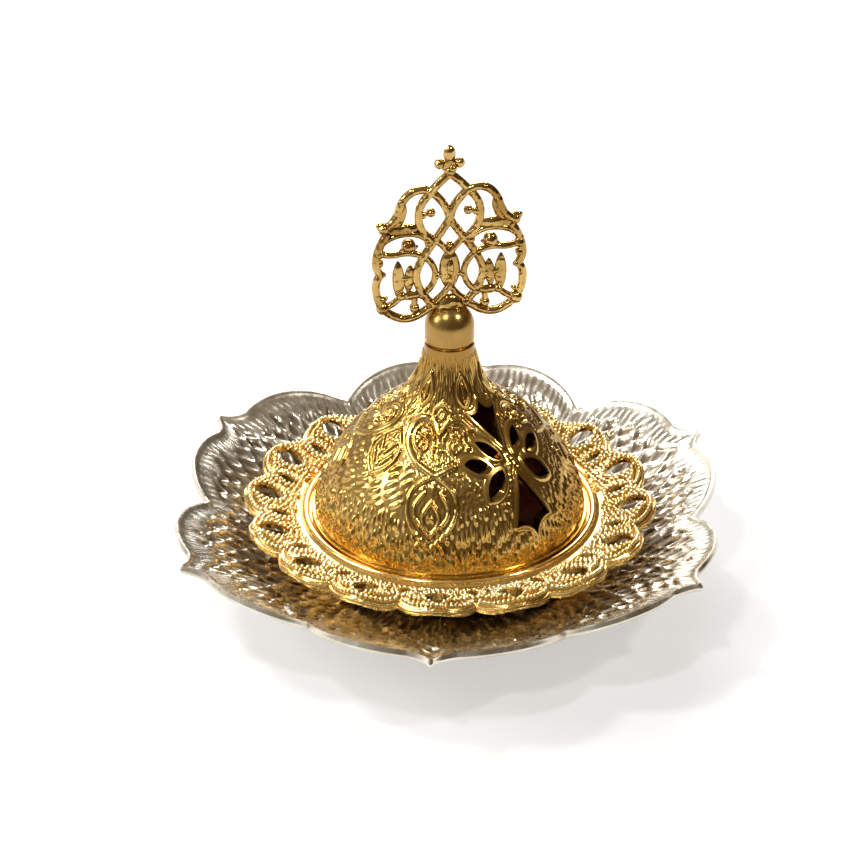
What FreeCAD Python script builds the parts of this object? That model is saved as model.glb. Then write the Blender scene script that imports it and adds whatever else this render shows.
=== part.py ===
import FreeCAD, Part
import math
import os
import re

import Sketcher
from FreeCAD import Vector

# Incense burner: a six-petal tray on a turned foot carries an openwork saucer with a drop-in bowl,
# and an ogee dome lid with a palmette finial closes the bowl. Millimetres, +Z up, origin on the table
# under the middle of the foot, with the front on the -Y side.

SIZES = {
    # Foot under the tray
    "foot_height": 5.2,
    "foot_radius": 21.5,
    "foot_ring_width": 3.6,
    "foot_edge": 1.2,
    "foot_waist_bend": 3.6,
    "foot_seat_radius": 19.6,
    "foot_web": 1.4,
    # Six-petal tray
    "tray_wall": 1.3,
    "tray_floor_radius": 20.0,
    "tray_turn_radius": 36.0,
    "tray_turn_height": 5.5,
    "tray_tip_radius": 54.5,
    "tray_rim_height": 13.5,
    "tray_shoulder_radius": 51.0,
    "tray_notch_radius": 45.4,
    "tray_blank_margin": 1.0,
    "spur_bend": 6.0,
    "shoulder_bend": 17.5,
    # Spacer ring between tray and saucer
    "riser_height": 2.0,
    "riser_radius": 15.0,
    "riser_chamfer": 0.4,
    # Openwork saucer
    "saucer_wall": 1.2,
    "saucer_ledge_height": 7.1,
    "collar_height": 8.5,
    "collar_width": 1.05,
    "lid_collar_clearance": 0.35,
    "lace_start_radius": 29.2,
    "lace_start_height": 7.3,
    "lace_crest_radius": 35.6,
    "lace_crest_height": 9.8,
    "saucer_radius": 38.2,
    "saucer_edge_height": 8.6,
    "saucer_edge_bend": 3.4,
    "lobe_notch_depth": 2.0,
    "lobe_notch_half_width": 3.0,
    "lobe_corner_bend": 5.5,
    "lobe_window_inner": 30.9,
    "lobe_window_outer": 36.2,
    "lobe_window_bend": 2.8,
    "tongue_inner": 29.4,
    "tongue_outer": 33.2,
    "tongue_bend": 2.5,
    # Drop-in bowl
    "bowl_radius": 22.7,
    "bowl_wall": 0.8,
    "bowl_flange_radius": 25.6,
    "bowl_corner_bend": 2.0,
    "bowl_side_clearance": 0.3,
    "bowl_floor_clearance": 0.3,
    # Dome lid
    "lid_flange_radius": 25.6,
    "lid_flange_height": 0.85,
    "dome_radius": 25.0,
    "dome_belly_bend": 32.9,
    "dome_turn_radius": 11.8,
    "dome_turn_height": 21.2,
    "dome_neck_radius": 4.6,
    "dome_neck_height": 33.4,
    "dome_height": 34.9,
    "dome_wall": 1.2,
    "dome_ceiling_height": 29.1,
    "vent_turn": 45.0,
    # Kite vents on the vent group's own axis, measured from the lid's rim up
    "upper_kite_apex": 19.3,
    "upper_kite_side": 2.9,
    "upper_kite_side_height": 24.1,
    "upper_kite_point": 25.8,
    "upper_kite_bend": 2.4,
    "lower_kite_apex": 15.0,
    "lower_kite_side": 3.8,
    "lower_kite_side_height": 7.6,
    "lower_kite_point": 4.0,
    "lower_kite_bend": 3.0,
    # Leaf vents in pairs beside that axis: inner end, outer end and the bend of both sides
    "upper_leaf_inner": 1.6,
    "upper_leaf_inner_height": 17.9,
    "upper_leaf_outer": 4.6,
    "upper_leaf_outer_height": 20.7,
    "upper_leaf_bend": 2.7,
    "middle_leaf_inner": 4.2,
    "middle_leaf_inner_height": 17.1,
    "middle_leaf_outer": 8.4,
    "middle_leaf_outer_height": 18.1,
    "middle_leaf_bend": 2.7,
    "lower_leaf_inner": 2.5,
    "lower_leaf_inner_height": 16.5,
    "lower_leaf_outer": 7.1,
    "lower_leaf_outer_height": 12.6,
    "lower_leaf_bend": 4.2,
    # Finial
    "ferrule_base_radius": 4.3,
    "ferrule_radius": 4.5,
    "ferrule_base_height": 0.7,
    "ferrule_shoulder_height": 3.4,
    "ferrule_top_radius": 2.1,
    "ferrule_height": 7.2,
    "ferrule_shoulder_bend": 4.6,
    "ferrule_slot_floor": 3.6,
    "ferrule_bore_depth": 3.0,
    "palmette_half_width": 13.9,
    "palmette_height": 35.1,
    "palmette_depth": 1.7,
    "palmette_strand": 1.2,
    "palmette_twig": 0.9,
    "palmette_turn": 14.5,
    "tang_width": 3.2,
    "tang_clearance": 0.05,
    # Screws, washers and nut
    "centre_screw_radius": 2.0,
    "centre_head_radius": 3.8,
    "centre_head_height": 1.8,
    "centre_screw_proud": 0.2,
    "centre_washer_radius": 4.5,
    "centre_washer_height": 0.8,
    "centre_nut_flats": 7.0,
    "centre_nut_height": 2.4,
    "finial_screw_radius": 1.5,
    "finial_screw_end_gap": 0.2,
    "finial_head_radius": 2.7,
    "finial_head_height": 1.7,
    "finial_washer_radius": 3.3,
    "finial_washer_height": 0.6,
    "driver_slot_width": 0.7,
    "driver_slot_depth": 0.8,
    "screw_clearance": 0.08,
    "thread_clearance": 0.02,
}

# Petals of the tray, lobes of the saucer and vent groups of the dome.
PETALS = 6
LOBES = 16
VENT_GROUPS = 2

# Outline of a petal, in degrees from its notch: where the spur starts, and a line past the spur's tip.
SPUR_FOOT_ANGLE = 25.0
CUT_ANGLE = 33.0
CUT_REACH = 1.25

# Strands of the palmette, in hundredths of its half width and of its height above the tang's foot.
# Each is mirrored to the other side.
CROWN = 84.5
MAIN_STRANDS = {
    "shoulder_to_ferrule": [(-84, 57), (-69, 63.5), (-60, 70.5), (-43, 75.5), (-27, 75), (-11, 69.5), (0, 61),
                            (12, 52), (29, 43), (42, 34), (43, 26), (35, 18.5), (19, 13), (8, 12.5)],
    "arm": [(0, CROWN), (14, 79.5), (27, 74.5), (35, 69.5), (40, 63.5), (36, 56), (23, 48.5)],
    "side_loop": [(84, 57), (91, 48), (95, 40), (95, 27.5), (91, 18), (79, 10), (60, 6), (40, 7.5), (21, 13)],
}
TWIGS = {
    "bar": [(93, 46.5), (73, 42), (54, 43.5), (32, 42)],
    "upright_leaf": [(69, 42.5), (64, 34), (64, 25), (73, 16)],
    "leaf_web": [(63, 29.5), (43, 29.5)],
    "drop_stem": [(39, 21), (47, 14)],
    "knob_stem": [(39, 64), (27, 64.5)],
    "leaf_stem": [(68, 64), (58, 61)],
    "boss_top": [(22, 48.5), (12, 45.5), (0, 40.5)],
    "boss_side": [(34, 40), (22, 34), (20, 27.5), (37, 19)],
    "boss_link": [(20, 30.5), (9, 30.5)],
    "boss_foot": [(0, 22), (10, 16.5), (20, 13)],
    "bud_stem": [(0, CROWN + 1.5), (12, CROWN + 5)],
}
# Round ends: place, and radius as a share of a main strand's width.
KNOBS = [(47, 13.5, 0.8), (26, 64.5, 0.65), (57, 60.5, 0.65), (12, CROWN + 5, 0.65), (84, 57, 0.7)]
# Upright leaves on the middle line: low end, high end, and bend as a share of their length.
BUD = (CROWN, 100, 0.75)
BOSS = (20, 42, 0.72)
TANG_TOP = 14

# Heights of the seats above the table, as sums of the sizes that make them up.
TRAY_SEAT = "foot_height"
RISER_SEAT = TRAY_SEAT + " + tray_wall"
SAUCER_SEAT = RISER_SEAT + " + riser_height"
BOWL_SEAT = SAUCER_SEAT + " + saucer_wall + bowl_floor_clearance"
LID_SEAT = SAUCER_SEAT + " + saucer_ledge_height + bowl_wall"
FERRULE_SEAT = LID_SEAT + " + dome_height"
PALMETTE_SEAT = FERRULE_SEAT + " + ferrule_slot_floor"
CENTRE_WASHER_SEAT = "foot_height - foot_web - centre_washer_height"
CENTRE_NUT_SEAT = CENTRE_WASHER_SEAT + " - centre_nut_height"
CENTRE_SCREW_END = CENTRE_NUT_SEAT + " - centre_screw_proud"
FINIAL_WASHER_SEAT = LID_SEAT + " + dome_ceiling_height - finial_washer_height"
FINIAL_SCREW_END = FINIAL_WASHER_SEAT + " - screw_clearance - finial_head_height"

# The side of its way that an edge's centre lies on, and the axis that an outline is mirrored across.
LEFT, RIGHT = "left", "right"
X_AXIS, Y_AXIS = "x", "y"

# Below this lean an edge counts as straight.
STRAIGHT = 1e-5

doc = FreeCAD.newDocument("incense_burner")
sheet = doc.addObject("Spreadsheet::Sheet", "sizes")
for row, (alias, value) in enumerate(SIZES.items(), start=1):
    sheet.set(f"A{row}", alias)
    sheet.set(f"B{row}", str(value))
    sheet.setAlias(f"B{row}", alias)
doc.recompute()


def tie(text):
    """Expression on the sheet's cells for a sum or product written with their aliases."""
    return re.sub(r"[a-z]\w+", lambda word: f"sizes.{word[0]}" if word[0] in SIZES else word[0], text)


def size(text):
    """Value of such a sum or product."""
    return float(sheet.evalExpression(tie(text)))


def polar(radius, angle):
    """Pair of expressions for a point at an angle, in degrees, from the sketch's X axis."""
    return f"({radius}) * cos({angle} deg)", f"({radius}) * sin({angle} deg)"


def stand(item, height, turn="0"):
    """Stand an object at a height on the axis, turned about it."""
    axis = Vector(0, 0, 1)
    item.Placement = FreeCAD.Placement(Vector(0, 0, size(height)), FreeCAD.Rotation(axis, size(turn)))
    item.setExpression(".Placement.Base.z", tie(height))


def new_body(label, height="0", turn="0"):
    """Empty body whose own frame stands at a height on the axis."""
    body = doc.addObject("PartDesign::Body", label)
    body.Label = label
    stand(body, height, turn)
    return body


def origin_feature(body, role):
    """One of a body's own planes or axes."""
    return next(item for item in body.Origin.OriginFeatures if item.Role == role)


class Outline:
    """Closed outline in a sketch on one of a body's own planes, with its measures tied to the sheet."""

    def __init__(self, body, name, plane="XZ_Plane"):
        self.sketch = body.newObject("Sketcher::SketchObject", name)
        self.sketch.AttachmentSupport = (origin_feature(body, plane), [""])
        self.sketch.MapMode = "FlatFace"
        self.ends = {}

    def hold(self, kind, *places, text=None):
        """Add a constraint, tied to an expression where it is a measure."""
        if text is None:
            self.sketch.addConstraint(Sketcher.Constraint(kind, *places))
            return
        index = self.sketch.addConstraint(Sketcher.Constraint(kind, *places, size(text)))
        self.sketch.setExpression(f"Constraints[{index}]", tie(text))

    def line(self, start, end):
        """Straight edge between two points."""
        edge = self.sketch.addGeometry(Part.LineSegment(start, end), False)
        self.ends[edge] = (1, 2)
        return edge

    def arc(self, start, end, centre, side):
        """Round edge with its centre on the left or right of the way from start to end."""
        first, last = (start, end) if side == LEFT else (end, start)
        angles = [math.atan2(point.y - centre.y, point.x - centre.x) for point in (first, last)]
        circle = Part.Circle(centre, Vector(0, 0, 1), (start - centre).Length)
        edge = self.sketch.addGeometry(Part.ArcOfCircle(circle, *angles), False)
        self.ends[edge] = (1, 2) if side == LEFT else (2, 1)
        return edge

    def bend(self, start, end, radius, side):
        """Round edge of a given radius, the short way round."""
        return self.arc(start, end, centre_by_radius(start, end, size(radius), side), side)

    def axis(self, name):
        """The sketch's own number for one of its axes."""
        return -1 if name == X_AXIS else -2

    def start(self, edge):
        return edge, self.ends[edge][0]

    def end(self, edge):
        return edge, self.ends[edge][1]

    def place(self, point, x=None, y=None):
        """Measure a point from the sketch's origin, or hold it on an axis."""
        for kind, text, axis in (("DistanceX", x, Y_AXIS), ("DistanceY", y, X_AXIS)):
            if text == "0":
                self.hold("PointOnObject", *point, self.axis(axis))
            elif text is not None:
                self.hold(kind, -1, 1, *point, text=text)

    def chain(self, edges, smooth=()):
        """Join edges end to start into a closed outline, tangent where named."""
        for first, second in zip(edges, edges[1:] + edges[:1]):
            kind = "Tangent" if (first, second) in smooth else "Coincident"
            self.hold(kind, *self.end(first), *self.start(second))

    def mirror(self, point, other, axis):
        """Hold a point as the mirror image of another across an axis."""
        self.hold("Symmetric", *point, *other, self.axis(axis))

    def share_centre(self, first, second):
        """Give two arcs one centre."""
        self.hold("Coincident", first, 3, second, 3)

    def radius(self, edges, text):
        for edge in edges:
            self.hold("Radius", edge, text=text)


def centre_by_radius(start, end, radius, side):
    """Centre of the short arc of a given radius between two points."""
    chord = end - start
    rise = math.sqrt(radius ** 2 - (chord.Length / 2) ** 2)
    normal = Vector(-chord.y, chord.x, 0).normalize()
    return (start + end) * 0.5 + (normal if side == LEFT else -normal) * rise


def centre_by_tangent(start, direction, end):
    """Centre, and its side, of the arc that leaves a point in a given direction and ends at another."""
    normal = Vector(-direction.y, direction.x, 0).normalize()
    chord = end - start
    reach = chord.dot(chord) / (2 * normal.dot(chord))
    return start + normal * reach, LEFT if reach > 0 else RIGHT


def opposite(side):
    return RIGHT if side == LEFT else LEFT


def heading(point, centre, side):
    """Direction of travel at a point of an arc."""
    way = Vector(centre.y - point.y, point.x - centre.x, 0)
    return way if side == LEFT else -way


def point_of(corner):
    return Vector(size(corner[0]), size(corner[1]), 0)


def flipped(point, axis):
    """Mirror image of a point across the X or Y axis."""
    return Vector(point.x, -point.y, 0) if axis == X_AXIS else Vector(-point.x, point.y, 0)


def profile(body, name, corners, bends=None):
    """Closed section through corners; bends give an edge's radius and the side its centre is on."""
    outline = Outline(body, name)
    points = [point_of(corner) for corner in corners]
    edges = []
    for index, start in enumerate(points):
        end = points[(index + 1) % len(points)]
        if bends and index in bends:
            edges.append(outline.bend(start, end, *bends[index]))
        else:
            edges.append(outline.line(start, end))
    outline.chain(edges)
    for index, edge in enumerate(edges):
        outline.place(outline.start(edge), *corners[index])
        if bends and index in bends:
            outline.radius([edge], bends[index][0])
    return outline.sketch


def revolve(body, sketch, name):
    """Turn a section once round the Z axis."""
    feature = body.newObject("PartDesign::Revolution", name)
    feature.Profile = sketch
    feature.ReferenceAxis = (sketch, ["V_Axis"])
    feature.Angle = 360.0
    doc.recompute()
    return feature


def pocket(body, sketch, name, outward=None, across=None):
    """Cut an outline through everything, or outward over a length, or evenly across its plane."""
    before = body.Shape.Volume
    feature = body.newObject("PartDesign::Pocket", name)
    feature.Profile = sketch
    if outward is not None:
        feature.setExpression("Length", tie(outward))
        feature.Reversed = True
    elif across is not None:
        feature.SideType = "Two sides"
        feature.setExpression("Length", tie(f"({across}) / 2"))
        feature.setExpression("Length2", tie(f"({across}) / 2"))
    else:
        feature.Type = "ThroughAll"
        feature.SideType = "Symmetric"
    doc.recompute()
    if not body.Shape.Volume < before:
        raise RuntimeError(f"{name} cuts nothing")
    return feature


def around(body, features, count, name):
    """Repeat features round the Z axis."""
    pattern = body.newObject("PartDesign::PolarPattern", name)
    pattern.Originals = features
    pattern.Axis = (origin_feature(body, "Z_Axis"), [""])
    pattern.Angle = 360.0
    pattern.Occurrences = count
    body.Tip = pattern
    doc.recompute()


def leaf(body, name, plane, inner, outer, bend, twin=False):
    """Leaf-shaped outline, pointed at both ends, with its mirror image across the Y axis if it has a twin."""
    outline = Outline(body, name, plane)
    ends = [point_of(inner), point_of(outer)]
    sides = [outline.bend(first, last, bend, LEFT) for first, last in (ends, ends[::-1])]
    outline.chain(sides)
    outline.place(outline.start(sides[0]), *inner)
    outline.place(outline.end(sides[0]), *outer)
    outline.radius(sides, bend)
    if twin:
        ends = [flipped(point, Y_AXIS) for point in ends]
        twins = [outline.bend(first, last, bend, LEFT) for first, last in (ends, ends[::-1])]
        outline.chain(twins)
        outline.mirror(outline.start(sides[0]), outline.start(twins[0]), Y_AXIS)
        outline.mirror(outline.end(sides[0]), outline.end(twins[0]), Y_AXIS)
        outline.radius(twins, bend)
    return outline.sketch


def kite(body, name, which, side):
    """Kite-shaped vent outline with an apex, two side corners and a point between two round bites."""
    apex, point = ("0", f"{which}_apex"), ("0", f"{which}_point")
    corner, bite = (f"{which}_side", f"{which}_side_height"), f"{which}_bend"
    outline = Outline(body, name)
    ends = [point_of(apex), point_of(corner), point_of(point), flipped(point_of(corner), Y_AXIS)]
    edges = [
        outline.line(ends[0], ends[1]),
        outline.bend(ends[1], ends[2], bite, side),
        outline.bend(ends[2], ends[3], bite, side),
        outline.line(ends[3], ends[0]),
    ]
    outline.chain(edges)
    for edge, place in zip(edges, (apex, corner, point)):
        outline.place(outline.start(edge), *place)
    outline.mirror(outline.start(edges[1]), outline.start(edges[3]), Y_AXIS)
    outline.radius(edges[1:3], bite)
    return outline.sketch


def slot(body, name, half_width, low, high):
    """Upright rectangle on the axis, for a slot cut across a turned piece."""
    outline = Outline(body, name)
    corners = [point_of((half_width, low)), point_of((half_width, high))]
    corners += [flipped(corner, Y_AXIS) for corner in corners[::-1]]
    edges = [outline.line(start, end) for start, end in zip(corners, corners[1:] + corners[:1])]
    outline.chain(edges)
    outline.place(outline.start(edges[0]), half_width, low)
    outline.place(outline.end(edges[0]), half_width, high)
    outline.mirror(outline.start(edges[0]), outline.start(edges[3]), Y_AXIS)
    outline.mirror(outline.end(edges[0]), outline.start(edges[2]), Y_AXIS)
    return outline.sketch


def base_foot():
    """Turned foot: a ring on the table, a waist, and a web that the tray is screwed down on."""
    body = new_body("base_foot")
    bore = "centre_screw_radius + screw_clearance"
    inside = "foot_radius - foot_ring_width"
    corners = [
        (inside, "0"),
        ("foot_radius", "0"),
        ("foot_radius", "foot_edge"),
        ("foot_seat_radius", "foot_height"),
        (bore, "foot_height"),
        (bore, "foot_height - foot_web"),
        (inside, "foot_height - foot_web"),
    ]
    revolve(body, profile(body, "foot_section", corners, {2: ("foot_waist_bend", RIGHT)}), "foot_turning")
    return body


def lotus_tray():
    """Six-petal dish: a flat floor, a wall that rises and eases off at the rim, and a spur on each petal."""
    body = new_body("lotus_tray", TRAY_SEAT)
    outline = Outline(body, "dish_section")
    bore = "centre_screw_radius + screw_clearance"
    blank = "tray_tip_radius + tray_blank_margin"
    wall = Vector(0, size("tray_wall"), 0)
    hole = point_of((bore, "tray_wall"))
    floor = point_of(("tray_floor_radius", "tray_wall"))
    turn = point_of(("tray_turn_radius", "tray_turn_height"))
    rim = point_of((blank, "tray_rim_height"))
    hollow_centre, hollow_side = centre_by_tangent(floor, Vector(1, 0, 0), turn)
    crown_centre, crown_side = centre_by_tangent(turn, heading(turn, hollow_centre, hollow_side), rim)
    under_turn = turn + (turn - hollow_centre).normalize() * wall.y
    edges = [
        outline.line(hole, floor),
        outline.arc(floor, turn, hollow_centre, hollow_side),
        outline.arc(turn, rim, crown_centre, crown_side),
        outline.line(rim, rim - wall),
        outline.arc(rim - wall, under_turn, crown_centre, opposite(crown_side)),
        outline.arc(under_turn, floor - wall, hollow_centre, opposite(hollow_side)),
        outline.line(floor - wall, hole - wall),
        outline.line(hole - wall, hole),
    ]
    top, hollow, crown, edge, under_crown, under_hollow, bottom, _ = edges
    outline.chain(edges, smooth=((top, hollow), (hollow, crown), (under_crown, under_hollow)))
    outline.place(outline.start(top), bore, "tray_wall")
    outline.place(outline.end(top), "tray_floor_radius", "tray_wall")
    outline.place(outline.end(hollow), "tray_turn_radius", "tray_turn_height")
    outline.place(outline.end(crown), blank, "tray_rim_height")
    outline.place(outline.end(edge), blank)
    outline.place(outline.start(bottom), "tray_floor_radius", "0")
    outline.place(outline.end(bottom), bore, "0")
    outline.share_centre(hollow, under_hollow)
    outline.share_centre(crown, under_crown)
    revolve(body, outline.sketch, "dish_turning")
    around(body, [pocket(body, petal_gap(body), "petal_gap")], PETALS, "petal_gaps")
    return body


def petal_gap(body):
    """Outline of what is cut away between two spurs, with the notch between two petals on the X axis."""
    tip, foot = polar("tray_tip_radius", 180 / PETALS), polar("tray_shoulder_radius", SPUR_FOOT_ANGLE)
    notch, far = ("tray_notch_radius", "0"), polar(f"tray_tip_radius * {CUT_REACH}", CUT_ANGLE)
    outline = Outline(body, "petal_gap_outline", "XY_Plane")
    points = [point_of(corner) for corner in (far, tip, foot, notch)]
    points += [flipped(point, X_AXIS) for point in points[2::-1]]
    edges = [
        outline.line(points[0], points[1]),
        outline.bend(points[1], points[2], "spur_bend", LEFT),
        outline.bend(points[2], points[3], "shoulder_bend", RIGHT),
        outline.bend(points[3], points[4], "shoulder_bend", RIGHT),
        outline.bend(points[4], points[5], "spur_bend", LEFT),
        outline.line(points[5], points[6]),
        outline.line(points[6], points[0]),
    ]
    outline.chain(edges)
    for edge, corner in zip(edges, (far, tip, foot, notch)):
        outline.place(outline.start(edge), *corner)
    for edge, image in zip(edges[:3], edges[5:2:-1]):
        outline.mirror(outline.start(edge), outline.end(image), X_AXIS)
    outline.radius((edges[1], edges[4]), "spur_bend")
    outline.radius(edges[2:4], "shoulder_bend")
    return outline.sketch


def saucer_riser():
    """Spacer ring that lifts the saucer's well off the tray's floor."""
    body = new_body("saucer_riser", RISER_SEAT)
    corners = [
        ("centre_head_radius", "0"),
        ("riser_radius", "0"),
        ("riser_radius", "riser_height - riser_chamfer"),
        ("riser_radius - riser_chamfer", "riser_height"),
        ("centre_head_radius", "riser_height"),
    ]
    revolve(body, profile(body, "riser_section", corners), "riser_turning")
    return body


def lace_saucer():
    """Saucer: a well for the bowl, a ledge, a collar ridge, and an openwork border of notched lobes."""
    half_lobe = 180 / LOBES
    body = new_body("lace_saucer", SAUCER_SEAT, str(half_lobe))
    well = "bowl_radius + bowl_side_clearance"
    collar = "lid_flange_radius + lid_collar_clearance"
    mouth = "centre_head_radius + screw_clearance"
    throat = mouth + " - saucer_wall * (centre_head_radius - centre_screw_radius) / centre_head_height"
    corners = [
        (throat, "0"),
        (well + " + saucer_wall", "0"),
        (well + " + saucer_wall", "lace_start_height - saucer_wall"),
        ("lace_start_radius", "lace_start_height - saucer_wall"),
        ("lace_crest_radius", "lace_crest_height - saucer_wall"),
        ("saucer_radius", "saucer_edge_height - saucer_wall"),
        ("saucer_radius", "saucer_edge_height"),
        ("lace_crest_radius", "lace_crest_height"),
        ("lace_start_radius", "lace_start_height"),
        (collar + " + collar_width", "collar_height"),
        (collar, "collar_height"),
        (collar, "saucer_ledge_height"),
        (well, "saucer_ledge_height"),
        (well, "saucer_wall"),
        (mouth, "saucer_wall"),
    ]
    bends = {4: ("saucer_edge_bend", RIGHT), 6: ("saucer_edge_bend", LEFT)}
    revolve(body, profile(body, "saucer_section", corners, bends), "saucer_turning")
    window = leaf(body, "lobe_window_outline", "XY_Plane", polar("lobe_window_inner", half_lobe),
                  polar("lobe_window_outer", half_lobe), "lobe_window_bend")
    tongue = leaf(body, "tongue_outline", "XY_Plane", ("tongue_inner", "0"), ("tongue_outer", "0"),
                  "tongue_bend")
    cuts = [
        pocket(body, lobe_notch(body), "lobe_notch"),
        pocket(body, window, "lobe_window"),
        pocket(body, tongue, "tongue_window"),
    ]
    around(body, cuts, LOBES, "lobes")
    return body


def lobe_notch(body):
    """Outline of the notch between two lobes, with its root on the X axis."""
    outline = Outline(body, "lobe_notch_outline", "XY_Plane")
    root = ("saucer_radius - lobe_notch_depth", "0")
    mouth = ("saucer_radius + lobe_notch_depth", "lobe_notch_half_width + lobe_notch_depth")
    high, low = point_of(mouth), flipped(point_of(mouth), X_AXIS)
    edges = [
        outline.bend(high, point_of(root), "lobe_corner_bend", RIGHT),
        outline.bend(point_of(root), low, "lobe_corner_bend", RIGHT),
        outline.line(low, high),
    ]
    outline.chain(edges)
    outline.place(outline.start(edges[0]), *mouth)
    outline.place(outline.end(edges[0]), *root)
    outline.mirror(outline.start(edges[0]), outline.end(edges[1]), X_AXIS)
    outline.radius(edges[:2], "lobe_corner_bend")
    return outline.sketch


def burner_bowl():
    """Spun bowl that hangs by its flange on the saucer's ledge."""
    body = new_body("burner_bowl", BOWL_SEAT)
    ledge = "saucer_ledge_height - saucer_wall - bowl_floor_clearance"
    corners = [
        ("0", "0"),
        ("bowl_radius - bowl_corner_bend", "0"),
        ("bowl_radius", "bowl_corner_bend"),
        ("bowl_radius", ledge),
        ("bowl_flange_radius", ledge),
        ("bowl_flange_radius", ledge + " + bowl_wall"),
        ("bowl_radius - bowl_wall", ledge + " + bowl_wall"),
        ("bowl_radius - bowl_wall", "bowl_corner_bend"),
        ("bowl_radius - bowl_corner_bend", "bowl_wall"),
        ("0", "bowl_wall"),
    ]
    bends = {1: ("bowl_corner_bend", LEFT), 7: ("bowl_corner_bend - bowl_wall", RIGHT)}
    revolve(body, profile(body, "bowl_section", corners, bends), "bowl_turning")
    return body


def dome_lid():
    """Ogee dome on a flat flange, hollow up to the ceiling that the finial's screw hangs from."""
    body = new_body("dome_lid", LID_SEAT, "vent_turn")
    outline = Outline(body, "dome_section")
    bore = "finial_screw_radius + screw_clearance"
    wall = size("dome_wall")
    flange = [point_of(("lid_flange_radius", "0")), point_of(("lid_flange_radius", "lid_flange_height"))]
    springing = point_of(("dome_radius", "lid_flange_height"))
    turn = point_of(("dome_turn_radius", "dome_turn_height"))
    neck = [point_of(("dome_neck_radius", "dome_neck_height")), point_of(("dome_neck_radius", "dome_height"))]
    hole = [point_of((bore, "dome_height")), point_of((bore, "dome_ceiling_height"))]
    belly_centre = centre_by_radius(springing, turn, size("dome_belly_bend"), LEFT)
    sweep_centre, sweep_side = centre_by_tangent(turn, heading(turn, belly_centre, LEFT), neck[0])
    inner_turn = turn + (belly_centre - turn).normalize() * wall
    inner_sweep = (inner_turn - sweep_centre).Length
    inner_belly = (inner_turn - belly_centre).Length
    ceiling_drop = sweep_centre.y - hole[1].y
    ceiling = Vector(sweep_centre.x - math.sqrt(inner_sweep ** 2 - ceiling_drop ** 2), hole[1].y, 0)
    rim = Vector(belly_centre.x + math.sqrt(inner_belly ** 2 - belly_centre.y ** 2), 0, 0)
    edges = [
        outline.line(rim, flange[0]),
        outline.line(flange[0], flange[1]),
        outline.line(flange[1], springing),
        outline.arc(springing, turn, belly_centre, LEFT),
        outline.arc(turn, neck[0], sweep_centre, sweep_side),
        outline.line(neck[0], neck[1]),
        outline.line(neck[1], hole[0]),
        outline.line(hole[0], hole[1]),
        outline.line(hole[1], ceiling),
        outline.arc(ceiling, inner_turn, sweep_centre, opposite(sweep_side)),
        outline.arc(inner_turn, rim, belly_centre, RIGHT),
    ]
    base, lip, ledge, belly, sweep, collar, top, shaft, roof, under_sweep, under_belly = edges
    outline.chain(edges, smooth=((belly, sweep), (under_sweep, under_belly)))
    outline.place(outline.start(base), y="0")
    outline.place(outline.start(lip), "lid_flange_radius", "0")
    outline.place(outline.start(ledge), "lid_flange_radius", "lid_flange_height")
    outline.place(outline.start(belly), "dome_radius", "lid_flange_height")
    outline.place(outline.start(sweep), "dome_turn_radius", "dome_turn_height")
    outline.place(outline.start(collar), "dome_neck_radius", "dome_neck_height")
    outline.place(outline.start(top), "dome_neck_radius", "dome_height")
    outline.place(outline.start(shaft), bore, "dome_height")
    outline.place(outline.start(roof), bore, "dome_ceiling_height")
    outline.place(outline.end(roof), y="dome_ceiling_height")
    outline.share_centre(belly, under_belly)
    outline.share_centre(sweep, under_sweep)
    outline.radius([belly], "dome_belly_bend")
    outline.radius([under_belly], "dome_belly_bend - dome_wall")
    revolve(body, outline.sketch, "dome_turning")
    vents = [kite(body, "upper_kite", "upper_kite", RIGHT), kite(body, "lower_kite", "lower_kite", LEFT)]
    for which in ("upper_leaf", "middle_leaf", "lower_leaf"):
        inner = (f"{which}_inner", f"{which}_inner_height")
        outer = (f"{which}_outer", f"{which}_outer_height")
        vents.append(leaf(body, which, "XZ_Plane", inner, outer, f"{which}_bend", twin=True))
    cuts = [pocket(body, vent, vent.Name + "_vent", outward="lid_flange_radius") for vent in vents]
    around(body, cuts, VENT_GROUPS, "vent_groups")
    return body


def finial_ferrule():
    """Acorn-shaped ferrule with a blind bore below for the screw and a slot above for the palmette's tang."""
    body = new_body("finial_ferrule", FERRULE_SEAT, "palmette_turn")
    bore = "finial_screw_radius + thread_clearance"
    corners = [
        (bore, "0"),
        ("ferrule_base_radius", "0"),
        ("ferrule_radius", "ferrule_base_height"),
        ("ferrule_radius", "ferrule_shoulder_height"),
        ("ferrule_top_radius", "ferrule_height"),
        ("0", "ferrule_height"),
        ("0", "ferrule_bore_depth"),
        (bore, "ferrule_bore_depth"),
    ]
    bends = {3: ("ferrule_shoulder_bend", LEFT)}
    revolve(body, profile(body, "ferrule_section", corners, bends), "ferrule_turning")
    mouth = slot(body, "tang_slot_outline", "tang_width / 2 + tang_clearance", "ferrule_slot_floor",
                 "ferrule_height + ferrule_base_height")
    pocket(body, mouth, "tang_slot", across="palmette_depth + 2 * tang_clearance")
    return body


def arc_normals(start, direction, end):
    """Points and left-hand normals at the start, middle and end of the arc between two points."""
    normal = Vector(-direction.z, 0, direction.x)
    chord = end - start
    lean = normal.dot(chord)
    if abs(lean) < STRAIGHT:
        return [(start, normal), (start + chord * 0.5, normal), (end, normal)]
    reach = chord.dot(chord) / (2 * lean)
    centre = start + normal * reach
    middle = centre + ((start + end) * 0.5 - centre).normalize() * abs(reach)
    return [(point, (centre - point) * (1 / reach)) for point in (start, middle, end)]


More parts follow.
